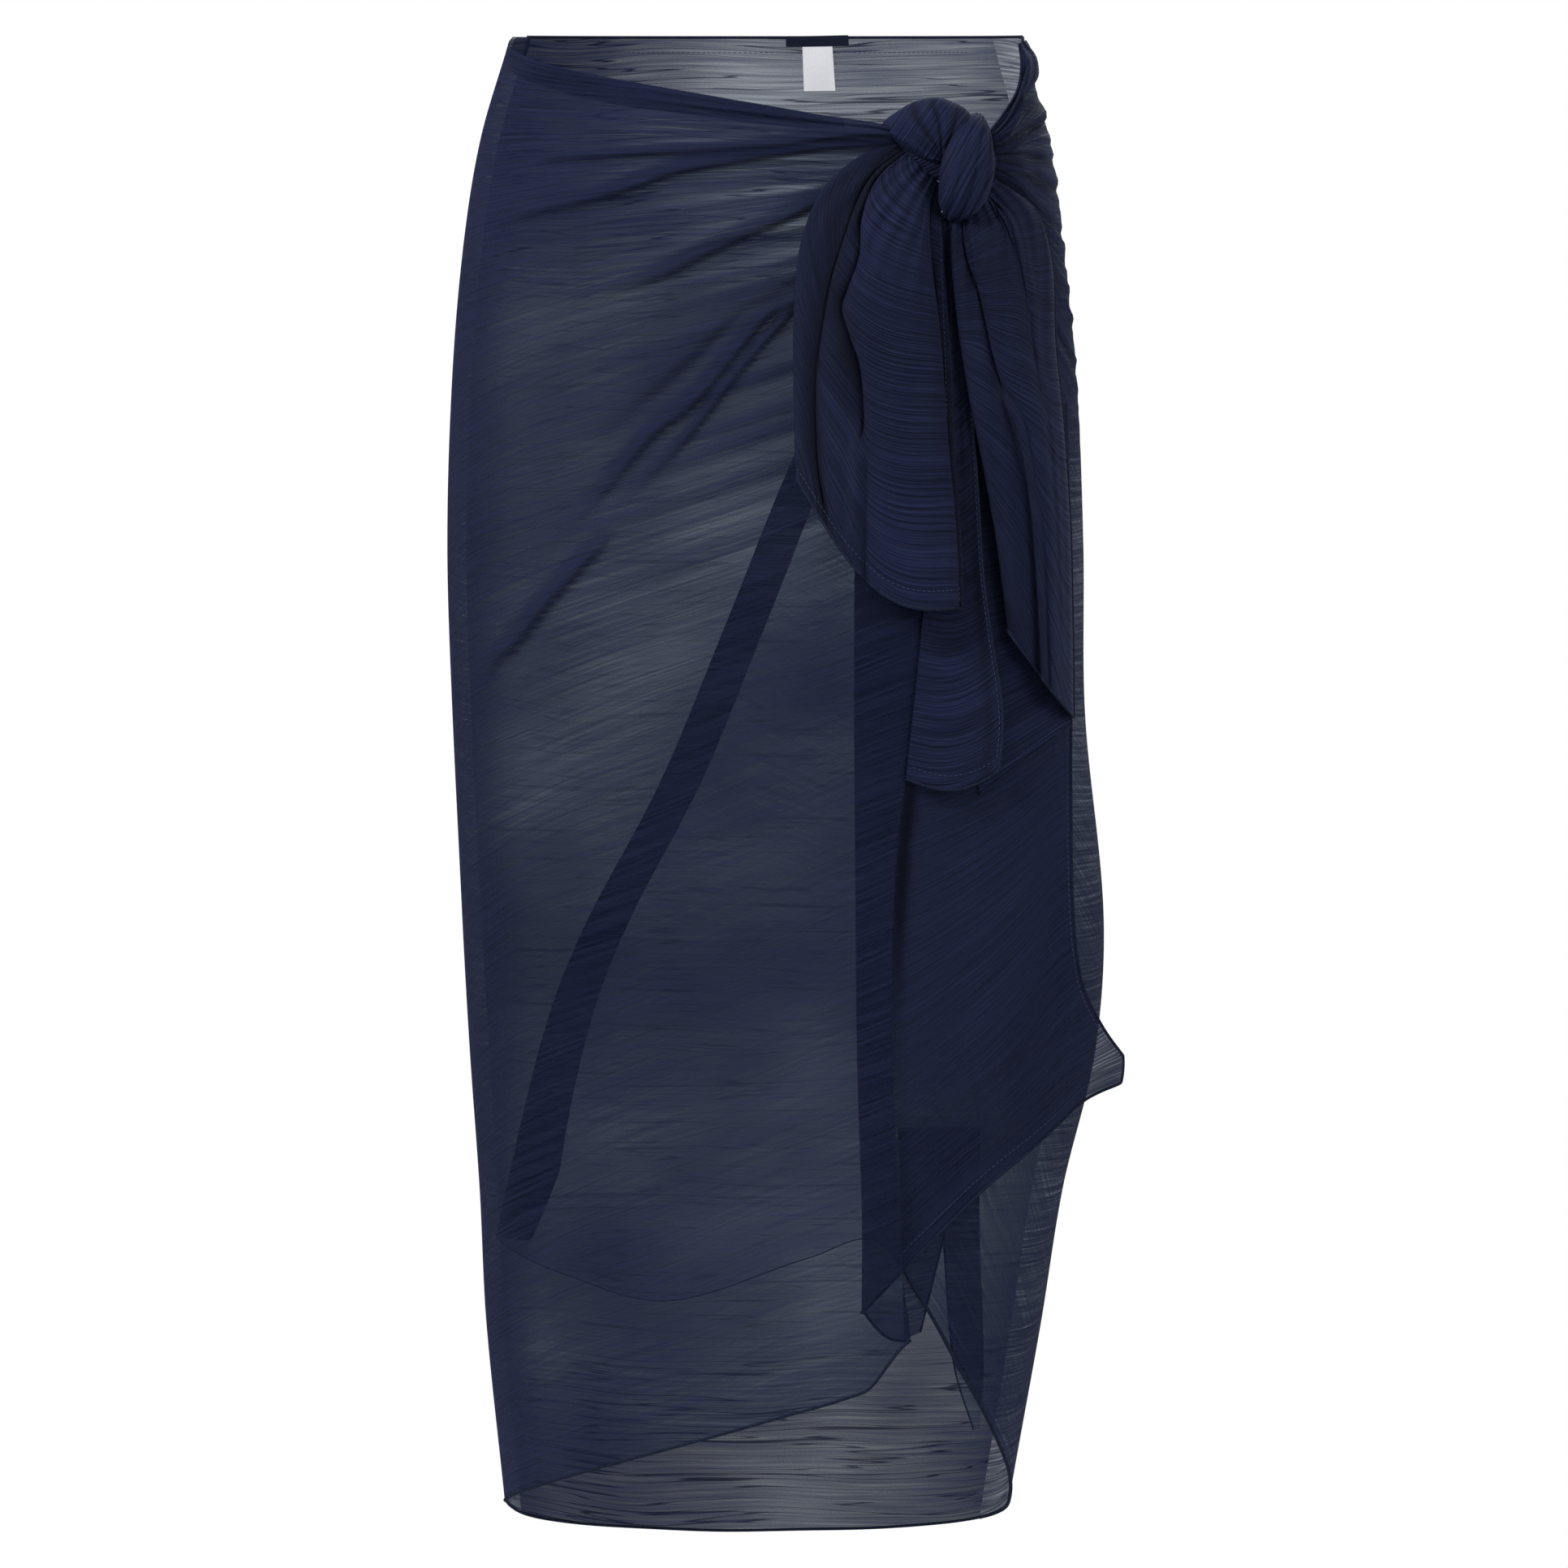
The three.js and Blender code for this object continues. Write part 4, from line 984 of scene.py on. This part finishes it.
def knot_band(points, pleats, phase, sides=120, steps=90):
    """a flat gathered tube along a curve, bulging away from the knot's centre"""
    t = np.linspace(0, 1, steps + 1)
    x, y, z, wide, thick = read(points, t, "x", "y", "z", "wide", "thick")
    centre = np.column_stack([x, y, z])
    ahead = np.gradient(centre, axis=0)
    ahead /= np.linalg.norm(ahead, axis=1)[:, None]
    out = centre - KNOT_CENTRE
    out -= (out * ahead).sum(1)[:, None] * ahead
    out /= np.linalg.norm(out, axis=1)[:, None]
    side = np.cross(ahead, out)
    a = np.linspace(0, 2 * np.pi, sides, endpoint=False)[None]
    tt = t[:, None]
    wander = 0.5 * np.sin(3.1 * tt + phase) + 0.25 * np.sin(7.3 * tt + 2 * phase)
    pleat = np.abs(np.sin(pleats * (a + 0.25 * wander + 0.5 * (tt - 0.5))))
    pleat = (pleat - 0.6) * (0.9 + 0.5 * np.sin(2 * a + phase + 2 * tt)) * np.maximum(np.sin(a), 0) ** 0.5
    round_off = 1 - 0.25 * ease(np.abs(2 * tt - 1), 0.75, 1.0)
    p = (centre[:, None] + side[:, None] * (np.cos(a) * wide[:, None] * round_off)[..., None]
         + out[:, None] * (np.sin(a) * (thick[:, None] * round_off + 1.25 * pleat))[..., None])
    return p, a + 0 * tt


def knot_fan(sides=200, steps=90):
    """the fan of gathers over the knot, a closed form with a thin rim: a plain face at its left, and
    pleats that meet at its point at its right"""
    ring = np.linspace(0, 2 * np.pi, steps, endpoint=False)[None]
    phi = np.linspace(38, 190, sides)[:, None]
    reach, high = read(KNOT_FAN, phi, "reach", "high")
    r = (1 - np.cos(ring)) / 2
    front = np.maximum(np.sin(ring), 0)
    pleats = np.abs(np.sin(np.radians((phi + 5 * arch(r)) * 7.0))) - 0.6
    pleated = (1 - ease(phi, 104, 118)) * ease(phi, 42, 54)
    fold = peak(phi - 116, 8 * arch(r), 5)
    body = np.sign(np.sin(ring)) * np.abs(np.sin(ring)) ** 0.6
    gathers = (3.2 * pleats * pleated - 2.0 * fold) * front**0.6 * r**0.3
    high = high * body * (1 + 0.35 * (r - 0.5)) + gathers
    x = KNOT_FAN_POINT[0] + reach * r * np.cos(np.radians(phi))
    z = KNOT_FAN_POINT[1] + reach * r * np.sin(np.radians(phi))
    y = -114 - 8 * (1 - r) * r + 9 * r**3 - high
    # painted shade in the hollows between the pleats and along the fold
    hollow_shade = (0.9 * np.clip(-1.6 * pleats, 0, 1) * pleated + 0.8 * fold) * front**0.4
    return np.stack([x, y, z], -1), ring + 0 * phi, hollow_shade


def knot_object(name, grid, flat, painted_shade, material):
    """a closed form from a grid of rings of points in mm, with its ends closed"""
    m, n = grid.shape[:2]
    verts = list(grid.reshape(-1, 3) / 1000)
    index = np.arange(m * n).reshape(m, n)
    nxt = np.roll(index, -1, axis=1)
    quads = np.stack([index[:-1], nxt[:-1], nxt[1:], index[1:]], -1).reshape(-1, 4).tolist()
    for row, flip in ((0, False), (m - 1, True)):
        verts.append(grid[row].mean(axis=0) / 1000)
        c = len(verts) - 1
        for k in range(n):
            i, j = int(index[row, k]), int(nxt[row, k])
            quads.append((c, i, j) if flip else (c, j, i))
    ob = new_object(name, verts, quads, material)
    placed = np.zeros((len(verts), 2))
    placed[: m * n] = flat.reshape(-1, 2)
    # painted shade, none on the end caps
    deep = np.zeros(len(verts))
    deep[: m * n] = painted_shade.ravel()
    weave_in(ob.data, placed, KNOT_DENSE, deep, 1.0)
    return ob


def slanted(grid, degrees, bend=0.0):
    """flat places of a form's points, with the crinkles running at an angle as seen from the front"""
    x, z = grid[..., 0], grid[..., 2]
    c, d = math.cos(math.radians(degrees)), math.sin(math.radians(degrees))
    along, across = c * x + d * z, -d * x + c * z
    return np.stack([along, -across + bend * along**2], -1) / 1000


# The pieces

made = {}
for name, maker, material, node in (
    ("back_cloth", back_cloth, BACK, "back_stretch"),
    ("outer_cloth", outer_cloth, SHEER, "outer_stretch"),
    ("waist_turn_cloth", waist_turn_cloth, SHEER, "waist_turn"),
    ("cascade_cloth", pleat_and_cascade, SHEER, "cascade"),
    ("under_cloth", under_cloth, SHEER, "under_stretch"),
    ("inner_corner_cloth", inner_corner_cloth, SHEER, "inner_corner"),
    ("left_tie_cloth", left_tie_cloth, DENSE, "tie_end_left"),
    ("right_tie_cloth", right_tie_cloth, DENSE, "tie_end_right"),
    ("right_flap_cloth", right_flap_cloth, DENSE, "tie_end_right"),
    ("right_back_cloth", right_back_cloth, DENSE, "tie_end_right"),
    ("waist_roll_cloth", waist_roll, DENSE, "under_stretch"),
    ("inner_flap_cloth", inner_flap_cloth, SHEER, "inner_corner"),
):
    points, across, down, dense, *shades = maker()
    # the first of these, where a maker gives it, is painted shade
    painted_shade = shades[0] if shades else 0.0
    crinkle = shades[1] if len(shades) > 1 else 1.0
    ob = sheet_object(name, points, across, down, dense, painted_shade, crinkle, material)
    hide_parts(node)
    made[name] = (ob, points)


knot_forms = []
for name, points, pleats, phase, slant in (
    ("knot_through", KNOT_THROUGH, 5, 0.4, 20),
    ("knot_round", KNOT_ROUND, 6, 3.3, 58),
):
    grid, ring = knot_band(points, pleats, phase)
    # painted shade along both edges of each band
    knot_forms.append((name, grid, slanted(grid, slant), 0.6 * peak(np.sin(ring), 0, 0.4)))
grid, ring, hollow_shade = knot_fan()
# painted shade towards the fan's point
rim = 0.5 * peak(ring, 0, 0.6)
knot_forms.append(("knot_over", grid, slanted(grid, 52), np.clip(hollow_shade + rim, 0, 1)))
for name, grid, flat, painted_shade in knot_forms:
    ob = knot_object(name, grid, flat, painted_shade, DENSE)
    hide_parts("knot")


grids = {name: grid for name, (ob, grid) in made.items()}
under_foot_radius = mix(0.3, 1.1, ease(grids["under_cloth"][-1][:, 0], 60, 90))
hems = {}
for piece, name, line, radius in (
    ("back_cloth", "back_waist_hem", 0, HEM_RADIUS),
    ("back_cloth", "back_foot_hem", -1, HEM_RADIUS),
    ("outer_cloth", "outer_foot_hem", -1, HEM_RADIUS),
    ("cascade_cloth", "cascade_foot_hem", -1, HEM_RADIUS),
    ("cascade_cloth", "cascade_side_hem", (slice(None), -1), HEM_RADIUS),
    ("under_cloth", "under_waist_hem", 0, HEM_RADIUS),
    ("under_cloth", "under_foot_hem", -1, under_foot_radius),
    ("inner_corner_cloth", "inner_corner_hem", (slice(30, None), 0), 0.5),
    ("inner_flap_cloth", "inner_flap_hem", (slice(None), -1), 0.6),
    ("left_tie_cloth", "left_tie_foot_hem", -1, HEM_RADIUS),
    ("left_tie_cloth", "left_tie_inner_hem", (slice(8, None), 0), HEM_RADIUS),
    ("left_tie_cloth", "left_tie_side_hem", (slice(8, None), -1), HEM_RADIUS),
    ("right_tie_cloth", "right_tie_foot_hem", -1, HEM_RADIUS),
    ("right_tie_cloth", "right_tie_side_hem", (slice(30, None), -1), HEM_RADIUS),
    ("right_flap_cloth", "right_flap_foot_hem", -1, HEM_RADIUS),
    ("right_flap_cloth", "right_flap_side_hem", (slice(20, None), -1), HEM_RADIUS),
    ("right_back_cloth", "right_back_foot_hem", -1, HEM_RADIUS),
):
    ob = tube(name, grids[piece][line], radius, HEM)
    hems.setdefault(piece, []).append(ob)


# Labels


def label_object(name, width, top, foot, thick, material, node, sway=0.0):
    """a strip of tape inside the centre back"""
    v, u = net(np.linspace(0, 1, 24), np.linspace(0, 1, 24))
    x = LABEL_X + width * (0.5 - u)
    curl = sway * arch(v) * arch(u) + sway * v**2
    z = mix(top, foot, v)
    angle = 180 - angle_at(x, 0)
    near = on_form(angle, z, LABEL_LIFT - thick / 2 - curl)
    far = on_form(angle, z, LABEL_LIFT + thick / 2 - curl)
    m, n = near.shape[:2]
    verts = np.concatenate([near.reshape(-1, 3), far.reshape(-1, 3)]) / 1000
    g = np.arange(m * n).reshape(m, n)
    h = g + m * n
    faces = np.stack([g[:-1, :-1], g[:-1, 1:], g[1:, 1:], g[1:, :-1]], -1).reshape(-1, 4).tolist()
    faces += np.stack([h[:-1, :-1], h[1:, :-1], h[1:, 1:], h[:-1, 1:]], -1).reshape(-1, 4).tolist()
    rim = list(g[0]) + list(g[1:, -1]) + list(g[-1, -2::-1]) + list(g[-2:0:-1, 0])
    for k, a in enumerate(rim):
        b = rim[(k + 1) % len(rim)]
        faces.append((int(b), int(a), int(a) + m * n, int(b) + m * n))
    ob = new_object(name, verts, faces, material, smooth=False)
    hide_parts(node)
    return ob


label_object("waist_label_tape", 39, 12.4, 6, 0.7, DARK_TAPE, "waist_label")
label_object("care_label_tape", 18.6, 6.2, -20.6, 0.35, WHITE_TAPE, "care_label", sway=0.6)


# Stitches beside the hems


lines = []
for piece, place, inset in (
    ("left_tie_cloth", (slice(20, -1), -8), 0.35),
    ("left_tie_cloth", (-8, slice(6, -6)), 0.35),
    ("right_flap_cloth", (-7, slice(4, -4)), 0.35),
    ("right_flap_cloth", (slice(60, -4), -5), 0.35),
    ("right_back_cloth", (-4, slice(4, -4)), 0.35),
    ("cascade_cloth", (-6, slice(24, -6)), 0.35),
    ("cascade_cloth", (slice(40, -4), -6), 0.35),
    ("inner_flap_cloth", (slice(2, -2), -3), 0.3),
    ("back_cloth", (2, slice(20, -20)), 0.3),
):
    lines.append(grids[piece][place] - (0, inset, 0))
thread = stitches("hem_stitches", lines, THREAD)


def cut(name, flat, held, rests_on, area=None, extra=()):
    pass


cut("back_cloth", (0.42, 0.90), "hung", ["under_cloth", "outer_cloth"])
cut("outer_cloth", (0.40, 0.90), "gathered", ["knot_through"])
cut("waist_turn_cloth", (0.29, 0.017), "folded", ["outer_cloth"], area=0.0040)
cut("cascade_cloth", (0.19, 0.67), "gathered", ["knot_through"])
cut("under_cloth", (0.50, 0.90), "gathered", ["knot_through"], area=0.33)
cut("inner_corner_cloth", (0.026, 0.18), "folded", ["under_cloth"], area=0.0042)
cut("left_tie_cloth", (0.13, 0.25), "gathered", ["knot_over"], extra=[thread])
cut("right_tie_cloth", (0.12, 0.27), "gathered", ["knot_round"], area=0.027)
cut("right_flap_cloth", (0.065, 0.25), "gathered", ["knot_round"], area=0.0145)
cut("right_back_cloth", (0.056, 0.27), "hung", ["right_tie_cloth"])
cut("waist_roll_cloth", (0.042, 0.085), "folded", ["under_cloth"])
cut("inner_flap_cloth", (0.04, 0.12), "folded", ["under_cloth"], area=0.0035)


# Floor, lights and camera


FLOOR_RADIUS = 0.35
FLOOR_HEIGHT = -0.985


def floor_disc():
    n = 96
    turns = [2 * math.pi * k / n for k in range(n)]
    verts = [(FLOOR_RADIUS * math.cos(a), FLOOR_RADIUS * math.sin(a), FLOOR_HEIGHT) for a in turns]
    mesh = bpy.data.meshes.new("floor")
    mesh.from_pydata(verts, [], [tuple(range(n))])
    ob = bpy.data.objects.new("floor", mesh)
    bpy.context.scene.collection.objects.link(ob)
    pale = plain_weave("pale_floor", (0.82, 0.82, 0.82), (0.86, 0.86, 0.86), 0.8, 8, bump=0.0)
    mesh.materials.append(pale)


floor_disc()


def area_light(name, place, aim, size, power):
    data = bpy.data.lights.new(name, "AREA")
    data.shape = "DISK"
    data.size = size
    data.energy = power
    ob = bpy.data.objects.new(name, data)
    ob.location = place
    ob.rotation_euler = (Vector(aim) - Vector(place)).to_track_quat("-Z", "Y").to_euler()
    bpy.context.scene.collection.objects.link(ob)


MIDDLE = (0.0, 0.0, -0.42)
area_light("key_light", (-1.8, -2.1, 1.5), MIDDLE, 0.9, 75)
area_light("fill_light", (2.2, -2.0, 0.2), MIDDLE, 1.6, 22)
area_light("rim_light", (0.6, 2.4, 1.2), MIDDLE, 1.4, 25)

world = bpy.data.worlds.new("white_studio")
sky = Nodes(world)
seen = sky.add("ShaderNodeBackground", {"Color": (1, 1, 1, 1)})
lit = sky.add("ShaderNodeBackground", {"Color": (0.93, 0.95, 1.0, 1), "Strength": 0.5})
by_camera = sky.add("ShaderNodeLightPath").outputs["Is Camera Ray"]
both = sky.add("ShaderNodeMixShader", {0: by_camera, 1: lit.outputs[0], 2: seen.outputs[0]})
sky.add("ShaderNodeOutputWorld", {"Surface": both.outputs[0]})
bpy.context.scene.world = world
bpy.context.scene.view_settings.view_transform = "Standard"

CAMERA_DISTANCE = 4.0
VIEW_WIDTH = 0.9274
VIEW_X = 0.010
VIEW_Z = -0.442
camera_data = bpy.data.cameras.new("camera")
camera_data.sensor_width = 36
camera_data.lens = 36 * CAMERA_DISTANCE / VIEW_WIDTH
camera_data.clip_end = 50
camera = bpy.data.objects.new("camera", camera_data)
camera.location = (VIEW_X, -CAMERA_DISTANCE, VIEW_Z)
camera.rotation_euler = (math.radians(90), 0, 0)
bpy.context.scene.collection.objects.link(camera)
bpy.context.scene.camera = camera

bpy.context.view_layer.update()
